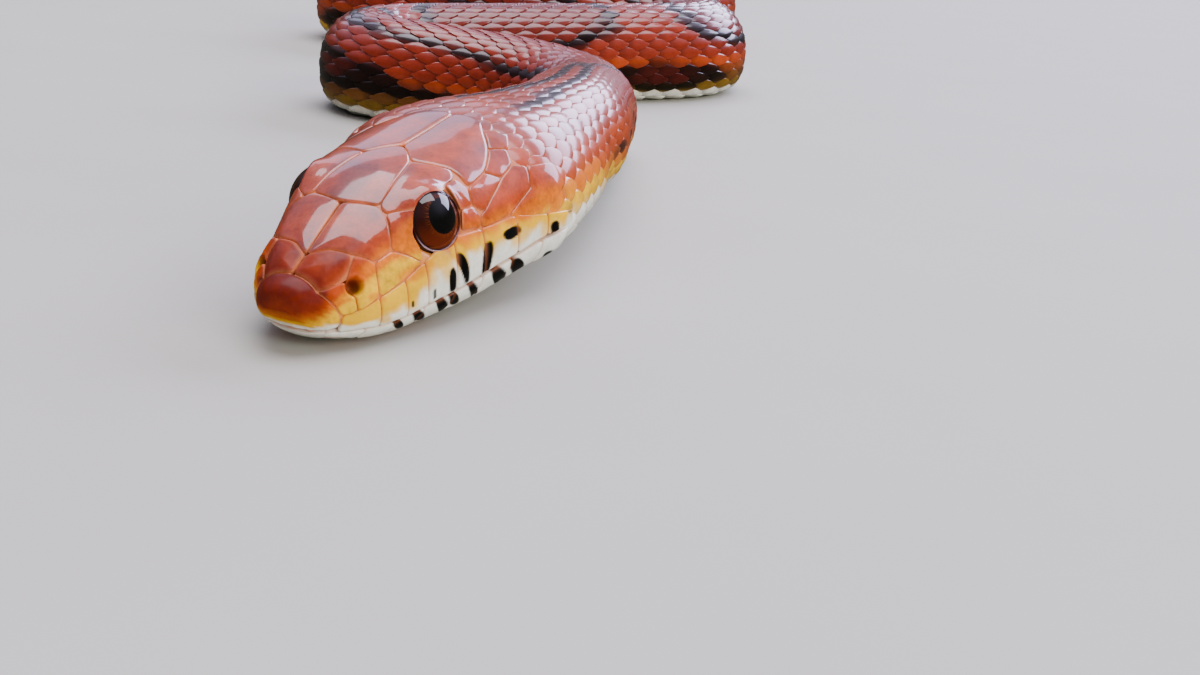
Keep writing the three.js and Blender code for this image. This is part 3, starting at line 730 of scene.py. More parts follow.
@dataclass
class Surface:
    """A mesh in the making: its points, its faces, and what each point carries."""

    points: Array
    quads: Array
    tris: Array
    colours: Array
    uv: Array

    @staticmethod
    def joined(parts: list["Surface"]) -> "Surface":
        """Several meshes as one."""
        starts = np.cumsum([0] + [len(part.points) for part in parts[:-1]])
        return Surface(
            np.concatenate([part.points for part in parts]),
            np.concatenate([part.quads + start for part, start in zip(parts, starts)]),
            np.concatenate([part.tris + start for part, start in zip(parts, starts)]),
            np.concatenate([part.colours for part in parts]),
            np.concatenate([part.uv for part in parts]),
        )

    def build(self, name: str, material: bpy.types.Material, slot: str) -> bpy.types.Object:
        """Makes the Blender object, in metres, and rides it on the body.

        Args:
            name: The piece's name.
            material: Its finish.
            slot: The record's material slot; not used.

        Returns:
            The object.
        """
        mesh = bpy.data.meshes.new(name)
        corners = np.concatenate([self.quads.ravel(), self.tris.ravel()]).astype(np.int32)
        totals = np.concatenate([np.full(len(self.quads), 4), np.full(len(self.tris), 3)])
        starts = np.concatenate([[0], np.cumsum(totals)[:-1]])
        mesh.vertices.add(len(self.points))
        mesh.vertices.foreach_set("co", (self.points * MM).astype(np.float32).ravel())
        mesh.loops.add(len(corners))
        mesh.loops.foreach_set("vertex_index", corners)
        mesh.polygons.add(len(totals))
        mesh.polygons.foreach_set("loop_start", starts.astype(np.int32))
        mesh.polygons.foreach_set("loop_total", totals.astype(np.int32))
        mesh.polygons.foreach_set("use_smooth", np.ones(len(totals), bool))
        mesh.update(calc_edges=True)
        mesh.validate()
        rgba = np.concatenate([self.colours, np.ones((len(self.colours), 1))], axis=1)
        layer = mesh.color_attributes.new(name="Markings", type="FLOAT_COLOR", domain="POINT")
        layer.data.foreach_set("color", rgba.astype(np.float32).ravel())
        unwrap = mesh.uv_layers.new(name="OFBake")
        unwrap.uv.foreach_set("vector", self.uv[corners].astype(np.float32).ravel())
        mesh.materials.append(material)
        piece = placed(name, mesh)
        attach(piece, "root")
        triangles = 2 * len(self.quads) + len(self.tris)
        log.info("%s: %d points, %d triangles", name, len(self.points), triangles)
        return piece


def grid_faces(rows: int, columns: int, closed: bool) -> Array:
    """Quads of a grid whose points run along each row, wound so that they face out of the skin.

    Args:
        rows: Rows of points, which run tailwards.
        columns: Points in a row, which run to the left over the back.
        closed: Whether the last column meets the first.

    Returns:
        Four point numbers for each face.
    """
    across = columns if closed else columns - 1
    i, j = np.meshgrid(np.arange(rows - 1), np.arange(across), indexing="ij")
    near, far, after = i * columns, (i + 1) * columns, (j + 1) % columns
    return np.stack([near + j, near + after, far + after, far + j], -1).reshape(-1, 4)


def fan(start: int, count: int, tip: int) -> Array:
    """Triangles from a closed ring of points, whose numbers run on from a start, to one tip."""
    j = np.arange(count)
    return np.stack([start + j, start + (j + 1) % count, np.full(count, tip)], -1)


def body_unwrap(s: Array, share: Array) -> Array:
    """The skin laid flat in strips: distance across a strip, and the way round up it."""
    strips = 6
    place = np.clip(s / FORM.length, 0.0, 0.9999) * strips
    strip = np.floor(place)
    return np.stack([place - strip, (strip + 0.05 + 0.9 * (share + 1.0) / 2.0) / strips], -1)


def head_unwrap(s: Array, angle: Array) -> Array:
    """The head laid flat round its tip: the way round turns, and the distance is the radius."""
    radius = 0.48 * (np.clip(s, 0.0, HEAD_END) / HEAD_END) ** 0.75
    turn = np.radians(angle)
    return np.stack([0.5 + radius * np.sin(turn), 0.5 + radius * np.cos(turn)], -1)


@dataclass(frozen=True)
class Opening:
    """A round opening of the head, such as an eye's or a nostril's, and its plates' edge."""

    centre: Array
    look: Array
    radius: float
    dome: float
    pit: float = 0.0

    def frame(self) -> tuple[Array, Array]:
        """Unit vectors across the look, one level and one upright."""
        level = unit(np.cross(self.look, np.array([0.0, 0.0, 1.0])))
        return level, np.cross(level, self.look)

    def polar(self, points: Array) -> tuple[Array, Array, Array]:
        """How far points lie along the look, how far off it, and in which direction off it."""
        offset = points - self.centre
        along = offset @ self.look
        aside = offset - along[..., None] * self.look
        off = np.linalg.norm(aside, axis=-1)
        return along, off, aside / np.maximum(off, 1e-9)[..., None]

    def cleared(self, points: Array) -> Array:
        """Points moved out of the opening, and raised a little where they border it.

        Points inside the rim gather just at it. From the rim outwards the height eases from the
        rim's own height back to the skin over half the opening's radius.
        """
        along, off, aside = self.polar(points)
        near = (off < self.radius * 1.5) & (np.abs(along) < self.radius * 1.6)
        squeezed = self.radius * (1.0 + 0.03 * (off / self.radius - 1.0))
        reach = np.where(off < self.radius, squeezed, off)
        ease = fade(reach, self.radius, self.radius * 1.5)
        level = np.maximum(along, self.dome) * ease + along * (1.0 - ease)
        moved = self.centre + aside * reach[..., None] + self.look * level[..., None]
        return np.where(near[..., None], moved, points)

    def shaped(self, points: Array) -> Array:
        """Plate points pressed into the pit, if there is one, or else moved out of the opening.

        The pit falls as one less the square of the share of its radius, to the power of 1.5, and
        has a low rim, a bell curve round it.
        """
        if not self.pit:
            return self.cleared(points)
        along, off, _ = self.polar(points)
        share = off / self.radius
        press = self.pit * np.maximum(1.0 - share**2, 0.0) ** 1.5
        rim = 0.05 * np.exp(-(((share - 1.15) / 0.22) ** 2))
        near = (off < self.radius * 1.9) & (np.abs(along) < self.radius * 3.0)
        return np.where(near[..., None], points + self.look * (rim - press)[..., None], points)

    def shaded(self, points: Array, colours: Array) -> Array:
        """Colours darkened towards the middle of the pit, if there is one: the nostril's own dark
        lining and painted shade in the pit.
        """
        along, off, _ = self.polar(points)
        inside = fade(off, 0.55 * self.radius, self.radius)
        inside = inside * (np.abs(along) < self.radius * 3.0)
        return painted(colours, Hue.DARK_RED, 0.85 * inside * (self.pit > 0), 0.8)

    def sunk(self, points: Array, depth: float) -> Array:
        """Skin points inside the rim pushed in by a depth, easing out round it, or in a pit."""
        along, off, _ = self.polar(points)
        near = (off < self.radius * 1.25) & (np.abs(along) < self.radius * 2.0)
        inner, outer = (0.5, 1.0) if self.pit else (0.8, 1.25)
        inside = fade(off, self.radius * inner, self.radius * outer)
        moved = points - self.look * (depth * inside)[..., None]
        return np.where(near[..., None], moved, points)


@dataclass(frozen=True)
class Eye:
    """An eye under its clear scale: a low dome with a round pupil, in a ring of small folds.

    The right one sits deeper by the tuck.
    """

    at: float = 9.95
    side: float = 5.2
    height: float = 7.05
    look: Triple = (0.32, 0.9, 0.3)
    radius: float = 2.75
    seen: float = 1.87
    bulge: float = 0.70
    tuck: float = 0.35
    rows: int = 40
    sides: int = 72

    def direction(self, side: int) -> Array:
        """The way the eye looks, in the snake's own space."""
        ahead, out, up = self.look
        here = FORM.muzzle()
        return unit(-ahead * here.tail[0] + out * side * here.left[0] + up * here.up[0])

    def opening(self, side: int) -> Opening:
        """The opening in the skin, whose rim stands at the edge of the dome."""
        out = self.side - (self.tuck if side < 0 else 0.0)
        centre = FORM.in_head(self.at, side * out, self.height)
        dip = self.radius - np.sqrt(self.radius**2 - self.seen**2)
        return Opening(centre, self.direction(side), self.seen + 0.02, self.bulge - dip + 0.06)


EYE = Eye()


@dataclass(frozen=True)
class Nostril:
    """A nostril: a round pit in the plates."""

    at: float = 3.1
    angle: float = 60.0
    radius: float = 0.62
    depth: float = 0.7

    def opening(self, side: int) -> Opening:
        """The opening in the plates round the nostril."""
        here = np.array([self.at]), np.array([side * self.angle])
        return Opening(FORM.skin(*here)[0], FORM.outward(*here)[0], self.radius, 0.1, self.depth)


NOSTRIL = Nostril()
OPENINGS = tuple(thing.opening(side) for thing in (EYE, NOSTRIL) for side in (1, -1))


def scale_pitch(s: Array) -> Array:
    """How far each scale lies behind the one before it in its row: a share of the body's width."""
    nape = np.interp(s, (0.0, 14.0, 22.0, 32.0, 44.0, 70.0), (1.6, 1.8, 2.2, 2.5, 2.45, 2.55))
    body = np.maximum(0.46 * FORM.section("half", s), 0.8)
    return np.where(s < 70.0, nape, body)


@dataclass(frozen=True)
class BaseSkin:
    """The one skin under all the plates, from the tip of the snout to the tip of the tail.

    It lies deeper under the nape's plates and the body's coat than under the head's plates.
    """

    sides: int = 92
    head_step: float = 0.3
    body_step: float = 2.2
    head_depth: float = 0.03
    nape_depth: float = 0.13
    coat_depth: float = 0.09
    socket_depth: float = 1.2
    floor_gap: float = 0.16
    groove_depth: float = 0.35
    groove_width: float = 0.3
    # Half width of the painted shade along the mouth.
    line_width: float = 0.2
    # How much painted shade darkens the skin between the scales.
    coat_shade: float = 0.65

    def surface(self) -> Surface:
        """The skin: rings at even shares of the way round, sunk by the depth of the coat.

        The mouth is a groove along the lip line, a bell curve of the distance from it.
        """
        stations = np.concatenate([
            [0.02, 0.08, 0.16],
            np.arange(0.25, HEAD_END, self.head_step),
            np.arange(HEAD_END, FORM.length - 8.0, self.body_step),
            FORM.length - np.array([7.0, 5.5, 4.0, 3.0, 2.0, 1.2, 0.6]),
        ])
        share = np.linspace(-1.0, 1.0, self.sides, endpoint=False)
        s, q = np.meshgrid(stations, share, indexing="ij")
        angle = GIRTH.angle(s, q)
        under_nape = self.nape_depth * ramp(s, 18.5, 21.5)
        under_coat = self.coat_depth * scale_pitch(s) * ramp(s, 26.0, 40.0)
        depth = self.head_depth + np.maximum(under_nape, under_coat)
        depth = np.minimum(depth, 0.35 * FORM.section("top", s))
        gap = (q - np.sign(q) * GIRTH.share(s, lip_angle(s))) * GIRTH.half(s)
        groove = self.groove_depth * np.exp(-((gap / self.groove_width) ** 2))
        groove = groove * (s < MOUTH_END) * ramp(s, 0.6, 1.3)
        points = FORM.over(s, angle, -(depth + groove), self.floor_gap)
        for opening in OPENINGS:
            points = opening.sunk(points, self.socket_depth)
        colours = MARKINGS.colour(s, angle)
        colours = painted(colours, Hue.SUTURE, 0.7 * fade(s, 23.0, 30.0))
        # Painted shade: the skin between the scales of the back and flanks is darkened, standing in
        # for the shade under the coat.
        shade = self.coat_shade * ramp(s, 26.0, 50.0) * (np.abs(q) < 0.72)
        colours = colours * (1.0 - shade)[..., None]
        # Painted shade: a dark line along the groove of the mouth.
        mouth = np.exp(-((gap / self.line_width) ** 2)) * (s < MOUTH_END)
        colours = painted(colours, Hue.DARK_RED, 0.8 * mouth, 0.4)
        tips = FORM.skin(np.array([0.0, FORM.length]), np.zeros(2))
        rows, around = s.shape
        first = fan(0, around, rows * around)[:, [1, 0, 2]]
        last = fan((rows - 1) * around, around, rows * around + 1)
        uv = body_unwrap(s, q).reshape(-1, 2)
        return Surface(
            np.concatenate([points.reshape(-1, 3), tips]),
            grid_faces(rows, around, True),
            np.concatenate([first, last]),
            np.concatenate([colours.reshape(-1, 3), colours[0, :1], colours[-1, :1]]),
            np.concatenate([uv, uv[:1], uv[-1:]]),
        )


@dataclass(frozen=True)
class Plate:
    """How a head plate rises: its seam, its skirt, its bevel and its crown, in millimetres."""

    seam: float = 0.022
    skirt: float = 0.22
    rise: float = 0.10
    crown: float = 0.18
    around: int = 72
    rounding: float = 0.22
    full_bevel: float = 1.3
    full_crown: float = 1.8
    least: float = 0.3
    deepest: float = 0.75
    insets: Floats = (0.0, 0.0, 0.03, 0.08, 0.15, 0.26, 0.42)
    heights: Floats = (-1.0, 0.0, 0.34, 0.66, 0.88, 1.0, 1.08)
    rims: Floats = (1.0, 1.0, 0.75, 0.42, 0.18, 0.06, 0.0)
    inner: Floats = (0.2, 0.4, 0.6, 0.8)

    def edge(self, corners: Array) -> Array:
        """The plate's edge: points evenly spaced by length on the skin, with the corners rounded.

        Rounding is a running mean over a short stretch of the edge.
        """
        ring = np.concatenate([corners, corners[:1]])
        there = FORM.skin(ring[:, 0], ring[:, 1])
        run = np.concatenate([[0], np.cumsum(np.linalg.norm(np.diff(there, axis=0), axis=1))])
        want = np.linspace(0.0, run[-1], self.around, endpoint=False)
        edge = np.stack([np.interp(want, run, ring[:, 0]), np.interp(want, run, ring[:, 1])], -1)
        spread = max(int(round(self.rounding / run[-1] * self.around)), 1)
        total = sum(np.roll(edge, k, axis=0) for k in range(-spread, spread + 1))
        return total / (2 * spread + 1)

    def surface(self, corners: Array) -> Surface:
        """A low domed plate over a polygon of the skin.

        Rings step in from the edge by set insets, and then by shares of the way to the middle. The
        height climbs a rounded bevel and then the crown, as one less the square of the share left.

        Args:
            corners: Distance and angle of each corner.

        Returns:
            The plate.
        """
        edge = self.edge(corners)
        middle = edge.mean(axis=0)
        core = FORM.skin(middle[:1], middle[1:])[0]
        reach = np.linalg.norm(FORM.skin(edge[:, 0], edge[:, 1]) - core, axis=1)
        bevel = np.clip(reach.min() / self.full_bevel, self.least, 1.0)
        swell = np.clip(reach.min() / self.full_crown, self.least, 1.0)
        insets = np.array(self.insets) * bevel + self.seam
        crown = self.rise + (self.crown - self.rise) * swell
        rings = 1.0 - np.minimum(insets[:, None] / reach[None, :], self.deepest)
        rings = np.concatenate([rings] + [rings[-1:] * (1.0 - k) for k in self.inner])
        climb = np.array(self.heights)
        height = np.where(climb < 0, climb * self.skirt, climb * self.rise)
        dome = 1 - (1 - np.array(self.inner)) ** 2
        inner = self.rise * self.heights[-1] + (crown - self.rise) * dome
        height = np.concatenate([height, inner])[:, None] * np.ones(self.around)
        s = middle[0] + (edge[:, 0] - middle[0]) * rings
        angle = middle[1] + (edge[:, 1] - middle[1]) * rings
        s = np.append(s.ravel(), middle[0])
        angle = np.append(angle.ravel(), middle[1])
        height = np.append(height.ravel(), self.rise * (self.heights[-1] - 1.0) + crown)
        points = FORM.over(s, angle, height)
        colours = MARKINGS.colour(s, angle)
        for opening in OPENINGS:
            colours = opening.shaded(points, colours)
            points = opening.shaped(points)
        rows = len(rings)
        rim = np.append(self.rims, np.zeros(len(self.inner)))
        rim = np.append(np.repeat(rim, self.around), 0.0)
        pale = 0.7 * rim * (1.0 - 0.6 * ramp(np.abs(angle), 78.0, 90.0))
        colours = painted(colours, Hue.SUTURE, pale)
        tris = fan((rows - 1) * self.around, self.around, rows * self.around)
        quads = grid_faces(rows, self.around, True)
        return Surface(points, quads, tris, colours, head_unwrap(s, angle))


# Corners of the shields that come in pairs, as distance and angle, given for the left side.
PAIRED_SHIELDS: dict[str, Corners] = {
    "internasal": ((1.55, 0), (3.0, 0), (3.7, 12), (4.1, 32), (3.4, 41), (2.4, 48), (1.35, 48)),
    "prefrontal": (
        (3.0, 0), (7.06, 0), (7.6, 19.7), (7.3, 27), (6.7, 38), (6.2, 51), (4.9, 50), (4.1, 32),
        (3.7, 12),
    ),
    "supraocular": (
        (7.6, 19.7), (10.1, 13.5), (12.6, 9.5), (13.7, 30), (13.1, 36.6), (11.9, 37), (9.9, 35),
        (8.6, 37), (7.3, 27),
    ),
    "parietal": (
        (14.5, 0), (12.6, 9.5), (13.7, 30), (13.7, 46), (16.0, 41.6), (18.3, 29), (19.9, 18),
        (21.7, 10), (21.9, 0),
    ),
    "prenasal": ((1.35, 48), (2.4, 48), (2.9, 51), (2.95, 72), (2.9, 86), (2.1, 88)),
    "postnasal": (
        (2.9, 51), (3.4, 41), (4.1, 33), (4.9, 50), (4.6, 66), (4.3, 79), (2.9, 86), (2.95, 72),
    ),
    "loreal": ((4.9, 50), (6.2, 51), (7.0, 60), (7.9, 72), (6.2, 76), (4.3, 79), (4.6, 66)),
    "preocular": (
        (7.3, 27), (8.6, 37), (7.9, 50), (8.1, 65), (7.9, 72), (7.0, 60), (6.2, 51), (6.7, 38),
    ),
    "upper_postocular": ((13.1, 36.6), (13.7, 46), (13.3, 57), (12.1, 56), (11.9, 37)),
    "lower_postocular": ((12.1, 56), (13.3, 57), (13.6, 65), (13.3, 72), (11.6, 68)),
    "temporal_1": ((13.7, 46), (16.0, 41.6), (17.0, 49.5), (14.1, 64), (13.3, 57)),
    "temporal_2": (
        (14.1, 64), (17.0, 49.5), (18.7, 45), (19.7, 49.5), (19.0, 63), (16.2, 73), (14.4, 73),
        (13.3, 72), (13.6, 65),
    ),
    "temporal_3": ((16.0, 41.6), (18.3, 29), (19.5, 34), (18.7, 45), (17.0, 49.5)),
    "temporal_4": ((18.3, 29), (19.9, 18), (21.2, 26), (19.8, 34.4), (19.5, 34)),
    "temporal_5": (
        (19.0, 63), (19.7, 49.5), (22.2, 55), (22.4, 70), (19.6, 82), (16.6, 80), (16.2, 73),
    ),
    "front_chin": ((2.5, 180), (3.4, 160), (5.5, 149), (9.0, 151), (9.8, 180)),
    "rear_chin": ((9.8, 180), (9.0, 151), (12.5, 146), (15.8, 156), (16.6, 180)),
}
# The left halves of the shields that cross the midline.
MIDLINE_SHIELDS: dict[str, Corners] = {
    "frontal": ((7.06, 0), (7.6, 19.7), (10.1, 13.5), (12.6, 9.5), (14.5, 0)),
    "mental": ((1.2, 180), (1.45, 140), (1.75, 128), (2.3, 152), (2.45, 180)),
}


@dataclass(frozen=True)
class Labials:
    """The plates along both lips, given by their seams and their reach from the lip line."""

    upper_seams: Floats = (2.1, 4.3, 6.3, 8.0, 10.5, 13.3, 16.7, 19.7, 23.0)
    upper_tops: Floats = (88, 79, 76, 72, 68, 72, 74, 82, 88)
    lower_seams: Floats = (1.75, 3.6, 5.6, 7.8, 10.4, 13.2, 16.2, 19.3, 22.4)
    lower_depths: Floats = (15, 26, 30, 31, 32, 32, 30, 28, 24)
    above: float = 0.6
    below: float = 1.6

    def upper(self) -> list[Array]:
        """Corners of the upper labials of the left side."""
        made = []
        for k in range(len(self.upper_seams) - 1):
            start, stop = self.upper_seams[k : k + 2]
            along = np.linspace(start, stop, 5)
            lip = np.stack([along, lip_angle(along) - self.above], -1)
            tops = self.upper_tops[k : k + 2]
            top = [(stop, tops[1]), ((start + stop) / 2, np.mean(tops))]
            made.append(np.concatenate([[(start, tops[0])], lip, top]))
        return made

    def lower(self) -> list[Array]:
        """Corners of the lower labials of the left side."""
        made = []
        for k in range(len(self.lower_seams) - 1):
            start, stop = self.lower_seams[k : k + 2]
            along = np.linspace(start, stop, 5)
            lip = lip_angle(along)
            top = np.stack([along, lip + self.below], -1)
            depth = np.interp(along, (start, stop), self.lower_depths[k : k + 2])
            bottom = np.stack([along, lip + depth], -1)
            made.append(np.concatenate([top, bottom[::-1]]))
        return made


LABIALS = Labials()


def mirrored(corners: Array) -> Array:
    """Corners on the snake's right, in the order that keeps the plate facing out."""
    return (corners * np.array([1.0, -1.0]))[::-1]


def clockwise(corners: Array) -> Array:
    """Corners ordered so that the plate made from them faces out of the skin."""
    after = np.roll(corners, -1, axis=0)
    area = np.sum(corners[:, 0] * after[:, 1] - after[:, 0] * corners[:, 1])
    return corners if area < 0 else corners[::-1]


def whole_outline(half: Corners) -> Array:
    """A midline shield drawn round from its left half, over the back or under the throat."""
    corners = np.array(half, float)
    middle = corners[0, 1]
    inner = corners[(corners[:, 1] != middle)][::-1]
    return np.concatenate([corners, np.stack([inner[:, 0], 2 * middle - inner[:, 1]], -1)])


def covered(s: Array, angle: Array) -> Array:
    """Whether places lie under a shield or a labial, by counting the edges each ray crosses."""
    side = np.abs(angle)
    hidden = np.zeros(s.shape, bool)
    shapes = [np.array(c, float) for c in (*PAIRED_SHIELDS.values(), *MIDLINE_SHIELDS.values())]
    for corners in shapes + LABIALS.upper() + LABIALS.lower():
        inside = np.zeros(s.shape, bool)
        for (s0, a0), (s1, a1) in zip(corners, np.roll(corners, -1, axis=0)):
            if a0 == a1:
                continue
            crosses = (a0 > side) != (a1 > side)
            inside ^= crosses & (s < (s1 - s0) * (side - a0) / (a1 - a0) + s0)
        hidden |= inside
    return hidden


@dataclass(frozen=True)
class HeadShields:
    """All the plates of the head: the shields, both rows of labials, and the cap of the snout."""

    plate: Plate = Plate()
    snout: Plate = Plate(
        rise=0.18, crown=0.42, around=120,
        inner=(0.08, 0.16, 0.24, 0.32, 0.4, 0.48, 0.56, 0.64, 0.72, 0.8, 0.9),
    )
    fine: Plate = Plate(
        rise=0.13, crown=0.26, around=96, inner=(0.1, 0.2, 0.3, 0.4, 0.5, 0.6, 0.7, 0.8, 0.9)
    )
    chin: Plate = Plate(rise=0.06, crown=0.1)
    cap_angles: Floats = (0, 48, 70, 88, 108, 125, 150, 180)
    cap_reach: Floats = (1.5, 1.32, 1.7, 2.05, 2.05, 1.4, 1.12, 1.0)
    cap_inner: Floats = (0.25, 0.5, 0.75, 0.9)
    cap_height: float = 1.1
    tip_up: float = 4.1

    def cap(self) -> Surface:
        """The rostral shield: rings at set shares of its rim, closed by a point at the tip."""
        plate = self.fine
        angle = np.linspace(-180.0, 180.0, plate.around, endpoint=False)
        rim = np.interp(np.abs(angle), self.cap_angles, self.cap_reach)
        insets = np.array(plate.insets) + plate.seam
        rings = 1.0 - insets[:, None] / rim[None, :]
        rings = np.concatenate([rings] + [rings[-1:] * (1.0 - k) for k in self.cap_inner])
        climb = np.array(plate.heights)
        height = np.where(climb < 0, climb * plate.skirt, climb * plate.rise)
        top = np.full(len(self.cap_inner), plate.rise * self.cap_height)
        height = np.concatenate([height, top])
        s = rings * rim
        a = np.broadcast_to(angle, s.shape)
        under = ramp(np.abs(a), 125.0, 150.0)
        points = FORM.over(s, a, height[:, None] * (1.0 - 0.6 * under))
        tip = FORM.in_head(-plate.rise, 0.0, self.tip_up)
        rows = len(rings)
        tris = fan((rows - 1) * plate.around, plate.around, rows * plate.around)
        colours = MARKINGS.colour(s, a).reshape(-1, 3)
        return Surface(
            np.concatenate([points.reshape(-1, 3), tip[None]]),
            grid_faces(rows, plate.around, True)[:, ::-1],
            tris[:, ::-1],
            np.concatenate([colours, colours[-1:]]),
            head_unwrap(np.append(s.ravel(), 0.0), np.append(a.ravel(), 0.0)),
        )

    def build(self, skin: "Finish", nose: "Finish", lip: "Finish") -> None:
        """Makes the shields of the snout, the crown, the lips and the chin as four pieces."""
        snout, crown, lips, chin = [self.cap()], [], [], []
        for name, corners in PAIRED_SHIELDS.items():
            plate, pieces = self.plate, crown
            if name.endswith("nasal"):
                plate, pieces = self.snout, snout
            elif name.endswith("chin"):
                plate, pieces = self.chin, chin
            left = np.array(corners, float)
            pieces += [plate.surface(clockwise(side)) for side in (left, mirrored(left))]
        for name, plate, pieces in (("frontal", self.plate, crown), ("mental", self.chin, chin)):
            pieces.append(plate.surface(clockwise(whole_outline(MIDLINE_SHIELDS[name]))))
        for left in LABIALS.upper() + LABIALS.lower():
            lips += [self.fine.surface(clockwise(side)) for side in (left, mirrored(left))]
        Surface.joined(snout).build("snout_shields", nose.material(), "head_skin")
        Surface.joined(crown).build("head_shields", skin.material(), "head_skin")
        Surface.joined(lips).build("labials", lip.material(), "jaw_skin")
        Surface.joined(chin).build("chin_shields", lip.material(), "jaw_skin")


@dataclass(frozen=True)
class Zone:
    """A stretch of body with one count of scale rows, which reach a share of the way round."""

    start: float
    stop: float
    rows: int
    reach: float


ZONES = (
    Zone(9.0, 640.0, 27, 0.75),
    Zone(640.0, 760.0, 25, 0.75),
    Zone(760.0, 850.0, 23, 0.75),
    Zone(850.0, 930.0, 21, 0.75),
    Zone(930.0, 1012.0, 19, 0.75),
    Zone(1012.0, 1036.0, 15, 0.74),
    Zone(1036.0, 1066.0, 13, 0.74),
    Zone(1066.0, 1096.0, 11, 0.74),
    Zone(1096.0, 1126.0, 9, 0.74),
    Zone(1126.0, 1160.0, 7, 0.74),
    Zone(1160.0, 1196.0, 5, 0.74),
)


@dataclass
class Rows:
    """Counts scales along the body, by adding up one over their pitch."""

    step: float = 0.25

    def __post_init__(self) -> None:
        """Adds up the count from the snout to the tail."""
        self._s = np.arange(0.0, FORM.length + self.step, self.step)
        self._count = np.concatenate([[0.0], np.cumsum(self.step / scale_pitch(self._s[:-1]))])

    def count(self, s: float) -> float:
        """How many scales of one row lie before a place."""
        return float(np.interp(s, self._s, self._count))

    def place(self, count: Array) -> Array:
        """The place that so many scales come to."""
        return np.interp(count, self._count, self._s)


ROWS = Rows()
# The width of one small plate's own square in the unwrap.
CELL = 0.003


def plate_grid(along: Floats, across: Array) -> tuple[Array, Array, Array]:
    """A small plate's grid: its length u, its width v, and which points close its free edges."""
    u, v = np.meshgrid(along, across, indexing="ij")
    last = np.zeros(u.shape, bool)
    last[-1, :] = last[:, 0] = last[:, -1] = True
    return u, v, last


def many_plates(points: Array, colours: Array, cells: Array, u: Array, v: Array) -> Surface:
    """Small plates of one grid as one mesh, each unwrapped in a small square of its own.

    Args:
        points: The points of each plate.
        colours: Their colours.
        cells: Where the middle of each plate's square lies.
        u: The grid's length, from 0 to 1.
        v: The grid's width, from -1 to 1.

    Returns:
        The mesh.
    """
    uv = cells[:, None, None, :] + CELL * np.stack(np.broadcast_arrays(u - 0.5, v / 2), -1)
    uv = np.broadcast_to(uv, points.shape[:-1] + (2,)).reshape(-1, 2)
    starts = (np.arange(len(points)) * u.size)[:, None, None]
    quads = (grid_faces(*u.shape, False)[None] + starts).reshape(-1, 4)
    return Surface(points.reshape(-1, 3), quads, NO_TRIS, colours.reshape(-1, 3), uv)


@dataclass(frozen=True)
class ScaleShape:
    """One scale, over its length u from 0 to 1 and its width v from -1 to 1.

    Half its width is a power of a sine of u, so that it is a long rounded diamond. Its top climbs
    from a sunk root to a free tip, is domed across, and may carry a keel. Round its edge the last
    points drop to close it against the skin.
    """

    along: Floats = (0.0, 0.2, 0.42, 0.64, 0.82, 0.94, 1.0, 1.0)
    across: Floats = (-1.0, -0.94, -0.5, 0.0, 0.5, 0.94, 1.0)
    overlap: float = 1.34
    width: float = 0.80
    root: float = -0.11
    climb: float = 0.16
    dome: float = 0.055
    drop: float = 0.10
    keel: float = 0.025
    tuck: float = 0.06
    clearance: float = 0.05

    def surface(
        self, s0: Array, share0: Array, spacing: Array, keeled: Array, tints: Array
    ) -> Surface:
        """Many scales of this shape.

        Args:
            s0: Where each scale's root is.
            share0: The share of the way round that its middle lies at.
            spacing: The share between neighbouring rows.
            keeled: How strong each scale's keel is.
            tints: A small lightening of each scale.

        Returns:
            All the scales as one mesh.
        """
        u, v, last = plate_grid(self.along, self.across)
        reach = np.sin(np.pi * (0.11 + 0.78 * u**0.9)) ** 0.8
        pitch = scale_pitch(s0)[:, None, None]
        bent = u - 0.15 * v**2 * u**2
        s = s0[:, None, None] + bent * self.overlap * pitch
        share = share0[:, None, None] + v * reach * self.width * spacing[:, None, None]
        angle = GIRTH.angle(s, share)
        arch = np.sin(np.pi * np.minimum(0.97 * u + 0.03, 1.0))
        top = self.root + self.climb * u**0.8 + self.dome * (1.0 - v**2) * arch
        ridge = self.keel * np.exp(-((v / 0.18) ** 2)) * ramp(u, 0.1, 0.35) * keeled[:, None, None]
        height = pitch * (top + ridge - self.drop * last)
        hidden = covered(s[:, 0, :1], angle[:, 0, :1])[:, None]
        tucked = hidden * (s0 < HEAD_END)[:, None, None]
        points = FORM.over(s, angle, height - self.tuck * tucked, self.clearance)
        heart = s0 + 0.55 * self.overlap * scale_pitch(s0)
        middle = MARKINGS.colour(heart, GIRTH.angle(s0, share0))
        colours = 0.7 * middle[:, None, None, :] + 0.3 * MARKINGS.colour(s, angle)
        colours = colours * (1.0 + tints[:, None, None, None])
        rim = np.maximum(ramp(np.abs(v), 0.75, 1.0), ramp(u, 0.86, 1.0))
        # Painted shade: behind the neck each scale is darkened towards its root, where it lies
        # under the scale before it.
        root_shade = ramp(s, 40.0, 75.0) * fade(u, 0.15, 0.6)
        colours = colours * (1.0 - 0.45 * root_shade)[..., None]
        pale = (0.36 * fade(s, 26.0, 60.0) + 0.05) * rim
        bright = ramp(colours.max(axis=-1), 0.02, 0.12)
        colours = painted(colours, Hue.SUTURE, pale * bright)
        return many_plates(points, colours, body_unwrap(s0, share0), u, v)


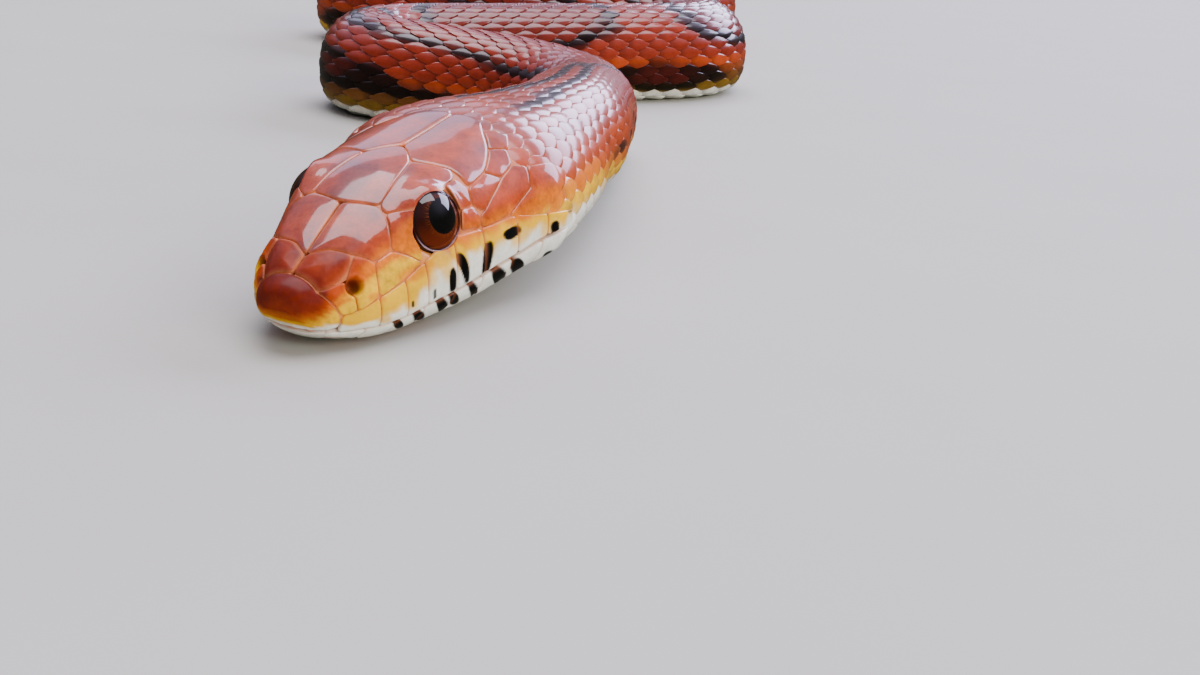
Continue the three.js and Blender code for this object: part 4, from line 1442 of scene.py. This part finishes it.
@dataclass(frozen=True)
class ScaleCoat:
    """The scales of the back, the flanks, the nape and the throat."""

    near: ScaleShape = ScaleShape(
        along=(0.0, 0.15, 0.32, 0.5, 0.66, 0.8, 0.9, 0.97, 1.0, 1.0),
        across=(-1.0, -0.96, -0.72, -0.4, 0.0, 0.4, 0.72, 0.96, 1.0),
    )
    far: ScaleShape = ScaleShape()
    cuts: Floats = (0.0, 60.0, 112.0, 175.0, 330.0, 520.0, 760.0, 1200.0)
    names: tuple[str, ...] = (
        "nape", "neck", "forebody", "fore_middle", "middle", "hind_middle", "hind",
    )
    fine_until: float = 175.0
    throat_end: float = 31.0
    crown_end: float = 17.0
    throat_from: float = 120.0
    tail_gap: float = 5.0

    def lattice(self) -> tuple[Array, Array, Array]:
        """Roots, shares and row spacings of all the scales: odd rows start half a scale on."""
        roots, shares, spacings = [], [], []
        for zone in ZONES:
            spacing = 2.0 * zone.reach / zone.rows
            side = zone.rows // 2
            extra = int((1.0 - zone.reach) / spacing + 1) if zone.start < 20.0 else 0
            for j in range(-side - extra, side + extra + 1):
                stop = zone.stop if abs(j) <= side else self.throat_end
                first = np.ceil(ROWS.count(zone.start))
                count = np.arange(first, ROWS.count(stop)) + 0.5 * (j % 2)
                roots.append(ROWS.place(count))
                shares.append(np.full(len(count), j * spacing))
                spacings.append(np.full(len(count), spacing))
        s, share, spacing = (np.concatenate(parts) for parts in (roots, shares, spacings))
        behind = s + 1.05 * scale_pitch(s)
        inner = GIRTH.angle(behind, share - 0.25 * spacing)
        outer = GIRTH.angle(behind, share + 0.25 * spacing)
        keep = ~(covered(behind, inner) & covered(behind, outer)) & (np.abs(share) < 1.0)
        keep &= (s > self.crown_end) | (np.abs(inner) > self.throat_from)
        keep &= s < FORM.length - self.tail_gap
        return s[keep], share[keep], spacing[keep]

    def build(self, skin: "Finish") -> None:
        """Makes the coat in pieces, cut across the body."""
        s, share, spacing = self.lattice()
        rng = np.random.default_rng(SEED)
        tints = rng.normal(0.0, 0.07, len(s))
        keeled = ramp(s, 50.0, 120.0) * fade(np.abs(share), 0.3, 0.5)
        keeled = keeled * (1.0 - 0.5 * ramp(s, 1000.0, 1100.0))
        for name, start, stop in zip(self.names, self.cuts[:-1], self.cuts[1:]):
            here = (s >= start) & (s < stop)
            shape = self.near if stop <= self.fine_until else self.far
            made = shape.surface(s[here], share[here], spacing[here], keeled[here], tints[here])
            made.build("scales_" + name, skin.material(), "body_skin")


@dataclass(frozen=True)
class BellyScutes:
    """The broad scutes across the belly, and the paired ones under the tail."""

    start: float = 27.0
    share: float = 0.262
    overlap: float = 1.22
    columns: int = 19
    along: Floats = (0.0, 0.3, 0.6, 0.85, 0.96, 1.0, 1.0)
    dark_share: float = 0.42
    pair_middles: tuple[float, float] = (0.868, 1.132)
    pair_half: float = 0.136

    def strip(self, s0: Array, middle: Array, half: Array, dark: Array) -> Surface:
        """Scutes over the belly: a bowed strip that climbs from its root to a free hind edge.

        Args:
            s0: Where each scute's root is.
            middle: The share of the way round at its middle.
            half: Half its width, as a share.
            dark: How dark its left and right halves are.

        Returns:
            The scutes as one mesh.
        """
        side = np.linspace(-1.0, 1.0, self.columns - 2)
        across = np.concatenate([[-1.0], side, [1.0]])
        u, v, last = plate_grid(self.along, across)
        pitch = scale_pitch(s0)[:, None, None]
        s = s0[:, None, None] + (u - 0.10 * v**2 * u) * self.overlap * pitch
        narrowing = 1.0 - 0.06 * u
        share = middle[:, None, None] + v * narrowing * half[:, None, None]
        angle = GIRTH.angle(s, share)
        height = pitch * (-0.09 + 0.11 * u - 0.07 * last)
        points = FORM.over(s, angle, height, 0.3 * (1.0 - u) * np.ones_like(s))
        colours = MARKINGS.colour(s, angle)
        shade = np.where(v < 0, dark[:, 0, None, None], dark[:, 1, None, None])
        patch = shade * ramp(np.abs(v), 0.1, 0.16) * fade(np.abs(v), 0.86, 0.93)
        colours = painted(colours, Hue.BLACK, 0.95 * patch)
        return many_plates(points, colours, body_unwrap(s0, wrapped(middle, 1.0)), u, v)

    def build(self, skin: "Finish") -> None:
        """Makes the belly's scutes, with dark halves drawn at random in runs, and the tail's."""
        rng = np.random.default_rng(SEED + 1)
        first, vent, last = (ROWS.count(at) for at in (self.start, FORM.vent, FORM.length - 8.0))
        s0 = ROWS.place(np.arange(np.ceil(first), vent))
        runs = np.repeat(rng.random((len(s0) // 2 + 1, 2)) < self.dark_share, 2, axis=0)[: len(s0)]
        dark = runs * ramp(s0, 40.0, 60.0)[:, None]
        ones = np.ones(len(s0))
        belly = self.strip(s0, ones, self.share * ones, dark)
        belly.build("belly_scutes", skin.material(), "jaw_skin")
        count = np.arange(np.ceil(vent), last)
        pairs = []
        for k, side in enumerate(self.pair_middles):
            s0 = ROWS.place(count + 0.5 * k)
            dark = np.repeat(rng.random((len(s0), 1)) < self.dark_share, 2, axis=1) * 1.0
            half = np.full(len(s0), self.pair_half)
            pairs.append(self.strip(s0, np.full(len(s0), side), half, dark))
        Surface.joined(pairs).build("tail_scutes", skin.material(), "jaw_skin")


@dataclass(frozen=True)
class EyeBall:
    """The eyes, and the ring of small folds round each, with painted shade and a painted
    reflection.
    """

    back: float = 1.3
    hidden: float = 1.14
    ring_radius: float = 0.045
    ring_sides: int = 12

    def dome(self, side: int) -> tuple[Array, Array, Array, Array]:
        """A closed lens: a cap of a sphere in front and a parabola behind, joined at the rim.

        Args:
            side: 1 for the left eye and -1 for the right.

        Returns:
            The points, their places across the eye in visible radii, the quads and the triangles.
        """
        opening = EYE.opening(side)
        level, above = opening.frame()
        turns = np.linspace(0.0, 2 * np.pi, EYE.sides, endpoint=False)
        front = np.linspace(0.0, 1.0, EYE.rows + 1)[1:] * self.hidden
        rear = np.linspace(1.0, 0.0, 8)[1:-1] * self.hidden
        off = np.concatenate([front, rear]) * EYE.seen
        dip = EYE.radius - np.sqrt(EYE.radius**2 - off**2)
        edge = EYE.radius - np.sqrt(EYE.radius**2 - (self.hidden * EYE.seen) ** 2)
        along = EYE.bulge - dip
        bowl = 1 - (off[len(front):] / off.max()) ** 2
        along[len(front):] = EYE.bulge - edge - self.back * bowl
        x = off[:, None] * np.cos(turns)
        y = off[:, None] * np.sin(turns)
        grid = opening.centre + level * x[..., None] + above * y[..., None]
        grid = grid + opening.look * along[:, None, None]
        ends = np.array([EYE.bulge, EYE.bulge - edge - self.back])
        poles = opening.centre + opening.look * ends[:, None]
        tailwards = np.sign(level @ FORM.muzzle().tail[0])
        gaze = np.stack([x * tailwards, y, np.zeros_like(x)], -1).reshape(-1, 3) / EYE.seen
        rows, count = x.shape
        near = fan(0, count, rows * count)[:, [1, 0, 2]]
        far = fan((rows - 1) * count, count, rows * count + 1)
        return (
            np.concatenate([grid.reshape(-1, 3), poles]),
            np.concatenate([gaze, np.zeros((2, 3))]),
            grid_faces(rows, count, True)[:, ::-1],
            np.concatenate([near, far])[:, ::-1],
        )

    def ring(self, side: int) -> Surface:
        """The folds round the eye: a thin tube along the rim, bulging in a row of low beads."""
        opening = EYE.opening(side)
        level, above = opening.frame()
        turns = np.linspace(0.0, 2 * np.pi, EYE.sides * 2, endpoint=False)
        tube = np.linspace(0.0, 2 * np.pi, self.ring_sides, endpoint=False)
        a, b = np.meshgrid(turns, tube, indexing="ij")
        thick = self.ring_radius * (1.0 + 0.10 * np.cos(14.0 * a) - 0.25 * np.sin(a))
        off = opening.radius + 0.01 + thick * np.cos(b)
        along = opening.dome - 0.02 + 0.85 * thick * np.sin(b)
        aside = level * np.cos(a)[..., None] + above * np.sin(a)[..., None]
        points = opening.centre + aside * off[..., None] + opening.look * along[..., None]
        # Painted light: the ring is darkened along its top as shade under the brow, and lilac along
        # its bottom as a painted reflection of the sky.
        shade = ramp(np.sin(a), -0.85, -0.3)
        colours = painted(linear(Hue.LILAC.value), Hue.DARK_RED, shade, 0.5).reshape(-1, 3)
        here = np.arange(self.ring_sides)
        after = np.roll(here, -1)
        start = (len(turns) - 1) * self.ring_sides
        seam = np.stack([start + here, start + after, after, here], -1)
        faces = np.concatenate([grid_faces(len(turns), self.ring_sides, True), seam])
        uv = np.stack([a, b], -1).reshape(-1, 2) / (4 * np.pi)
        return Surface(points.reshape(-1, 3), faces, NO_TRIS, colours, uv)

    def build(self, skin: "Finish", glass: "EyeFinish") -> None:
        """Makes both eyes and both rings."""
        for side, name in ((1, "eye_left"), (-1, "eye_right")):
            points, gaze, quads, tris = self.dome(side)
            mesh = bpy.data.meshes.new(name + "_dome")
            mesh.from_pydata((points * MM).tolist(), [], quads.tolist() + tris.tolist())
            mesh.polygons.foreach_set("use_smooth", np.ones(len(mesh.polygons), bool))
            layer = mesh.attributes.new(name="Gaze", type="FLOAT_VECTOR", domain="POINT")
            layer.data.foreach_set("vector", gaze.astype(np.float32).ravel())
            mesh.materials.append(glass.material())
            piece = placed(name + "_dome", mesh)
            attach(piece, "root")
            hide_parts(name)
            log.info("%s: %d points", name, len(points))
        rings = Surface.joined([self.ring(1), self.ring(-1)])
        rings.build("eye_rings", skin.material(), "head_skin")


class Sockets:
    """Shorthand for laying out shader nodes."""

    def __init__(self, tree: bpy.types.NodeTree) -> None:
        """Keeps the tree that nodes are added to."""
        self.tree = tree

    def add(
        self, kind: str, settings: dict[str, object] | None = None, **inputs: object
    ) -> bpy.types.Node:
        """Adds a node, sets its own settings, and sets or links its inputs by name.

        Args:
            kind: The node's Blender name.
            settings: Properties of the node itself.
            inputs: Values, or sockets to link, by input name with spaces as underscores, or by
                number after an underscore.

        Returns:
            The node.
        """
        node = self.tree.nodes.new(kind)
        for key, value in (settings or {}).items():
            setattr(node, key, value)
        for key, value in inputs.items():
            place = int(key[1:]) if key[0] == "_" else key.replace("_", " ")
            socket = node.inputs[place]
            if isinstance(value, bpy.types.NodeSocket):
                self.tree.links.new(value, socket)
            else:
                socket.default_value = value
        return node

    def math(self, operation: str, first: object, second: object) -> bpy.types.NodeSocket:
        """One step of arithmetic."""
        settings = {"operation": operation}
        return self.add("ShaderNodeMath", settings, _0=first, _1=second).outputs[0]

    def length(self, vector: object) -> bpy.types.NodeSocket:
        """A vector's length."""
        return self.add("ShaderNodeVectorMath", {"operation": "LENGTH"}, _0=vector).outputs["Value"]

    def vector(self, operation: str, first: object, second: object) -> bpy.types.NodeSocket:
        """One step of arithmetic on vectors."""
        settings = {"operation": operation}
        return self.add("ShaderNodeVectorMath", settings, _0=first, _1=second).outputs[0]

    def noise(
        self, place: object, scale: float, detail: float, roughness: float = 0.5
    ) -> bpy.types.NodeSocket:
        """Noise at some places, finer as its scale grows."""
        node = self.add(
            "ShaderNodeTexNoise", Vector=place, Scale=scale, Detail=detail, Roughness=roughness
        )
        return node.outputs["Fac"]

    def smooth(
        self, value: object, low: float, high: float, least: float = 0.0, most: float = 1.0
    ) -> bpy.types.NodeSocket:
        """A value mapped by a smooth step from one range to another."""
        node = self.add(
            "ShaderNodeMapRange", {"interpolation_type": "SMOOTHSTEP"},
            Value=value, From_Min=low, From_Max=high, To_Min=least, To_Max=most,
        )
        return node.outputs["Result"]

    def mix(
        self, share: object, first: object, second: object, mode: str = "MIX"
    ) -> bpy.types.NodeSocket:
        """Two colours mixed."""
        settings = {"data_type": "RGBA", "blend_type": mode}
        return self.add("ShaderNodeMix", settings, _0=share, _6=first, _7=second).outputs[2]

    def show(self, shader: bpy.types.Node) -> None:
        """Gives a shader to the material's surface."""
        self.add("ShaderNodeOutputMaterial", Surface=shader.outputs[0])


def skin_grain() -> bpy.types.NodeTree:
    """The node group that all the skin shares: mottled colour, uneven gloss, and a fine relief.

    Colour is lightened and darkened by noise of about a millimetre and of a fifth of one. The
    height adds the fine noise to the coarse noise, and the gloss follows the coarse noise.
    """
    name = "skin_grain"
    if name in bpy.data.node_groups:
        return bpy.data.node_groups[name]
    group = bpy.data.node_groups.new(name, "ShaderNodeTree")
    for way, labels in (
        ("INPUT", ("Colour", "Mottle", "Gloss")), ("OUTPUT", ("Colour", "Roughness", "Height")),
    ):
        for label in labels:
            kind = "NodeSocketColor" if label == "Colour" else "NodeSocketFloat"
            group.interface.new_socket(name=label, in_out=way, socket_type=kind)
    make = Sockets(group)
    given = group.nodes.new("NodeGroupInput")
    place = make.add("ShaderNodeTexCoord").outputs["Object"]
    coarse = make.noise(place, 700.0, 3.0, 0.6)
    fine = make.noise(place, 3600.0, 2.0, 0.6)
    sway = make.math("ADD", make.math("MULTIPLY", coarse, 0.6), make.math("MULTIPLY", fine, 0.4))
    swing = make.math("MULTIPLY", make.math("SUBTRACT", sway, 0.5), given.outputs["Mottle"])
    lift = make.math("ADD", 1.0, make.math("MULTIPLY", swing, 2.4))
    shade = make.add("ShaderNodeCombineXYZ", X=lift, Y=lift, Z=lift).outputs[0]
    uneven = make.math("MULTIPLY", make.math("SUBTRACT", coarse, 0.5), 0.22)
    pits, waves = make.math("MULTIPLY", fine, 0.35), make.math("MULTIPLY", coarse, 0.65)
    make.add(
        "NodeGroupOutput",
        Colour=make.mix(1.0, given.outputs["Colour"], shade, "MULTIPLY"),
        Roughness=make.math("ADD", given.outputs["Gloss"], uneven),
        Height=make.math("ADD", pits, waves),
    )
    return group


def blank_material(name: str) -> tuple[bpy.types.Material, Sockets]:
    """A new material without nodes, and the shorthand that lays them out."""
    material = bpy.data.materials.new(name)
    material.use_nodes = True
    material.node_tree.nodes.clear()
    return material, Sockets(material.node_tree)


@dataclass(frozen=True)
class Finish:
    """The finish of skin, scales or shields: painted by the markings, under a clear thin coat."""

    name: str
    gloss: float
    mottle: float
    coat: float
    coat_roughness: float
    relief: float
    relief_depth: float = 0.00012
    specular: float = 0.2

    def material(self) -> bpy.types.Material:
        """The material, made once."""
        if self.name in bpy.data.materials:
            return bpy.data.materials[self.name]
        material, make = blank_material(self.name)
        paint = make.add("ShaderNodeAttribute", {"attribute_name": "Markings"}).outputs["Color"]
        grain = make.add(
            "ShaderNodeGroup", {"node_tree": skin_grain()},
            Colour=paint, Mottle=self.mottle, Gloss=self.gloss,
        )
        height = grain.outputs["Height"]
        bump = make.add(
            "ShaderNodeBump", Strength=self.relief, Distance=self.relief_depth, Height=height
        )
        make.show(make.add(
            "ShaderNodeBsdfPrincipled",
            Base_Color=grain.outputs["Colour"],
            Roughness=grain.outputs["Roughness"],
            Normal=bump.outputs[0],
            Coat_Weight=self.coat,
            Coat_Roughness=self.coat_roughness,
            Specular_IOR_Level=self.specular,
        ))
        return material


@dataclass(frozen=True)
class EyeFinish:
    """A black round pupil in a streaked dark iris, brighter below, under a wet clear scale."""

    name: str = "wet_eye"
    pupil: float = 0.60
    tall: float = 1.02
    behind: float = 0.08
    above: float = 0.17
    dark: str = "2a0c07"
    bright: str = "5a200b"
    gold: str = "804018"
    rim: Triple = (0.010, 0.005, 0.004)
    black: Triple = (0.002, 0.002, 0.002)

    def material(self) -> bpy.types.Material:
        """The material, made once."""
        if self.name in bpy.data.materials:
            return bpy.data.materials[self.name]
        material, make = blank_material(self.name)
        gaze = make.add("ShaderNodeAttribute", {"attribute_name": "Gaze"}).outputs["Vector"]
        split = make.add("ShaderNodeSeparateXYZ", Vector=gaze)
        far = make.length(gaze)
        centred = make.vector("SUBTRACT", gaze, (self.behind, self.above, 0.0))
        inner = make.length(make.vector("DIVIDE", centred, (1.0, self.tall, 1.0)))
        turn = make.math("ARCTAN2", split.outputs["Y"], split.outputs["X"])
        turn, out = make.math("MULTIPLY", turn, 5.0), make.math("MULTIPLY", far, 1.4)
        ring = make.add("ShaderNodeCombineXYZ", X=turn, Y=out)
        streak = make.smooth(make.noise(ring.outputs[0], 3.0, 4.0), 0.4, 0.7)
        low = make.smooth(split.outputs["Y"], -0.75, 0.2, 1.0, 0.0)
        iris = make.mix(low, (*linear(self.dark), 1), (*linear(self.bright), 1))
        band = make.smooth(inner, self.pupil, self.pupil + 0.22, 1.0, 0.0)
        glow = make.math("MULTIPLY", make.math("MULTIPLY", band, streak), 0.5)
        iris = make.mix(glow, iris, (*linear(self.gold), 1))
        iris = make.mix(make.smooth(far, 0.86, 1.0), iris, (*self.rim, 1))
        beyond = make.smooth(inner, self.pupil - 0.015, self.pupil + 0.02)
        make.show(make.add(
            "ShaderNodeBsdfPrincipled",
            Base_Color=make.mix(beyond, (*self.black, 1), iris),
            Roughness=0.3,
            Specular_IOR_Level=0.0,
            Coat_Weight=1.0,
            Coat_Roughness=0.015,
            Coat_IOR=1.6,
        ))
        return material


SHIELD_FINISH = Finish(
    "shield_skin", gloss=0.34, mottle=0.8, coat=1.0, coat_roughness=0.07, relief=0.12
)
SNOUT_FINISH = Finish(
    "snout_skin", gloss=0.46, mottle=0.6, coat=0.15, coat_roughness=0.2, relief=0.12,
    specular=0.08,
)
LIP_FINISH = Finish(
    "labial_skin", gloss=0.36, mottle=0.3, coat=0.5, coat_roughness=0.06, relief=0.12
)
SCALE_FINISH = Finish(
    "scale_skin", gloss=0.38, mottle=0.45, coat=0.85, coat_roughness=0.15, relief=0.2
)
BELLY_FINISH = Finish(
    "scute_skin", gloss=0.34, mottle=0.2, coat=0.6, coat_roughness=0.12, relief=0.15
)
BASE_FINISH = Finish("base_skin", gloss=0.5, mottle=0.3, coat=0.2, coat_roughness=0.25, relief=0.4)

FLESH = (
    "head", "lower_jaw", "neck", "forebody_1", "forebody_2", "forebody_3", "midbody_1",
    "midbody_2", "midbody_3", "midbody_4", "midbody_5", "hindbody_1", "hindbody_2",
    "hindbody_3", "tail_base", "tail_tip",
)


@dataclass(frozen=True)
class Lamp:
    """One soft area light. One that isn't mirrored isn't seen in the gloss of what it lights."""

    name: str
    place: Triple
    aim: Triple
    size: tuple[float, float]
    power: float
    colour: Triple
    mirrored: bool = True

    def build(self) -> None:
        """Puts the light in place, turned to its aim."""
        light = bpy.data.lights.new(self.name, "AREA")
        light.shape = "RECTANGLE"
        light.size, light.size_y = self.size
        light.energy = self.power
        light.color = self.colour
        lamp = placed(self.name, light)
        lamp.location = self.place
        lamp.visible_glossy = self.mirrored
        way = Vector(self.aim) - Vector(self.place)
        lamp.rotation_euler = way.to_track_quat("-Z", "Y").to_euler()


@dataclass(frozen=True)
class Studio:
    """The plain pale floor, the soft light and the camera."""

    floor_half: float = 4.0
    floor_dark: Triple = (0.43, 0.425, 0.38)
    floor_light: Triple = (0.47, 0.465, 0.42)
    floor_roughness: float = 0.75
    eye: Triple = (-0.000135, -0.316155, 0.02826)
    pitch: float = 18.527
    roll: float = 4.22
    lens: float = 40.5
    sensor: float = 36.0
    near: float = 0.001
    horizon: Triple = (0.07, 0.07, 0.06)
    zenith: Triple = (0.52, 0.49, 0.70)
    backdrop: Triple = (0.46, 0.46, 0.46)
    lamps: tuple[Lamp, ...] = (
        Lamp(
            "overhead", (0.1, 0.05, 1.8), (-0.03, -0.15, 0.0), (2.1, 1.4), 56.0, (0.96, 0.91, 1.0)
        ),
        Lamp("sky", (1.3, 1.6, 1.25), (-0.03, -0.15, 0.0), (2.5, 1.0), 92.0, (0.68, 0.68, 1.0)),
        Lamp(
            "fill", (1.3, -1.3, 0.75), (-0.03, -0.20, 0.0), (1.4, 1.0), 30.0, (1.0, 0.98, 0.93),
            mirrored=False,
        ),
        Lamp("far", (-0.9, 2.4, 1.5), (-0.03, -0.15, 0.0), (1.6, 0.9), 7.0, (0.66, 0.68, 1.0)),
    )

    def floor(self) -> None:
        """A square of matt, faintly mottled floor, which the skin's gloss doesn't mirror."""
        half = self.floor_half
        mesh = bpy.data.meshes.new("floor")
        corners = [(-half, -half, 0.0), (half, -half, 0.0), (half, half, 0.0), (-half, half, 0.0)]
        mesh.from_pydata(corners, [], [(0, 1, 2, 3)])
        material = bpy.data.materials.new("pale_floor")
        material.use_nodes = True
        make = Sockets(material.node_tree)
        shader = next(node for node in material.node_tree.nodes if node.type == "BSDF_PRINCIPLED")
        place = make.add("ShaderNodeTexCoord").outputs["Object"]
        noise = make.noise(place, 60.0, 5.0)
        colour = make.mix(noise, (*self.floor_dark, 1), (*self.floor_light, 1))
        material.node_tree.links.new(colour, shader.inputs["Base Color"])
        shader.inputs["Roughness"].default_value = self.floor_roughness
        mesh.materials.append(material)
        ground = placed("floor", mesh)
        ground.visible_glossy = False

    def camera(self) -> None:
        """The camera, tilted down and rolled a little."""
        data = bpy.data.cameras.new("view")
        data.lens = self.lens
        data.sensor_width = self.sensor
        data.clip_start = self.near
        camera = placed("view", data)
        tilt, roll = np.radians(self.pitch), np.radians(self.roll)
        ahead = np.array([0.0, np.cos(tilt), -np.sin(tilt)])
        level = np.array([1.0, 0.0, 0.0])
        upright = np.cross(level, ahead)
        right = level * np.cos(roll) + upright * np.sin(roll)
        up = upright * np.cos(roll) - level * np.sin(roll)
        turned = Matrix(np.stack([right, up, -ahead], axis=1).tolist()).to_4x4()
        camera.matrix_world = Matrix.Translation(self.eye) @ turned
        bpy.context.scene.camera = camera

    def build(self) -> None:
        """Makes the floor, the lights, the camera, and a sky that is dimmer behind the viewer."""
        self.floor()
        for lamp in self.lamps:
            lamp.build()
        world = bpy.data.worlds.new("pale_room")
        world.use_nodes = True
        make = Sockets(world.node_tree)
        way = make.add("ShaderNodeTexCoord").outputs["Generated"]
        split = make.add("ShaderNodeSeparateXYZ", Vector=way)
        behind = make.smooth(split.outputs["Y"], -0.5, 0.15, 0.22, 1.0)
        share = make.math("MULTIPLY", make.smooth(split.outputs["Z"], 0.16, 0.62), behind)
        colour = make.mix(share, (*self.horizon, 1), (*self.zenith, 1))
        seen = make.add("ShaderNodeLightPath").outputs["Is Camera Ray"]
        colour = make.mix(seen, colour, (*self.backdrop, 1))
        sky = world.node_tree.nodes["Background"]
        world.node_tree.links.new(colour, sky.inputs["Color"])
        sky.inputs["Strength"].default_value = 1.0
        bpy.context.scene.world = world
        self.camera()


def main() -> None:
    """Builds the snake and its studio."""
    logging.basicConfig(level=logging.INFO, format="%(name)s: %(message)s")
    Studio().build()
    flesh = BaseSkin().surface().build("skin", BASE_FINISH.material(), "body_skin")
    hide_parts(*FLESH)
    HeadShields().build(SHIELD_FINISH, SNOUT_FINISH, LIP_FINISH)
    ScaleCoat().build(SCALE_FINISH)
    BellyScutes().build(BELLY_FINISH)
    EyeBall().build(SHIELD_FINISH, EyeFinish())


if __name__ == "__main__":
    main()
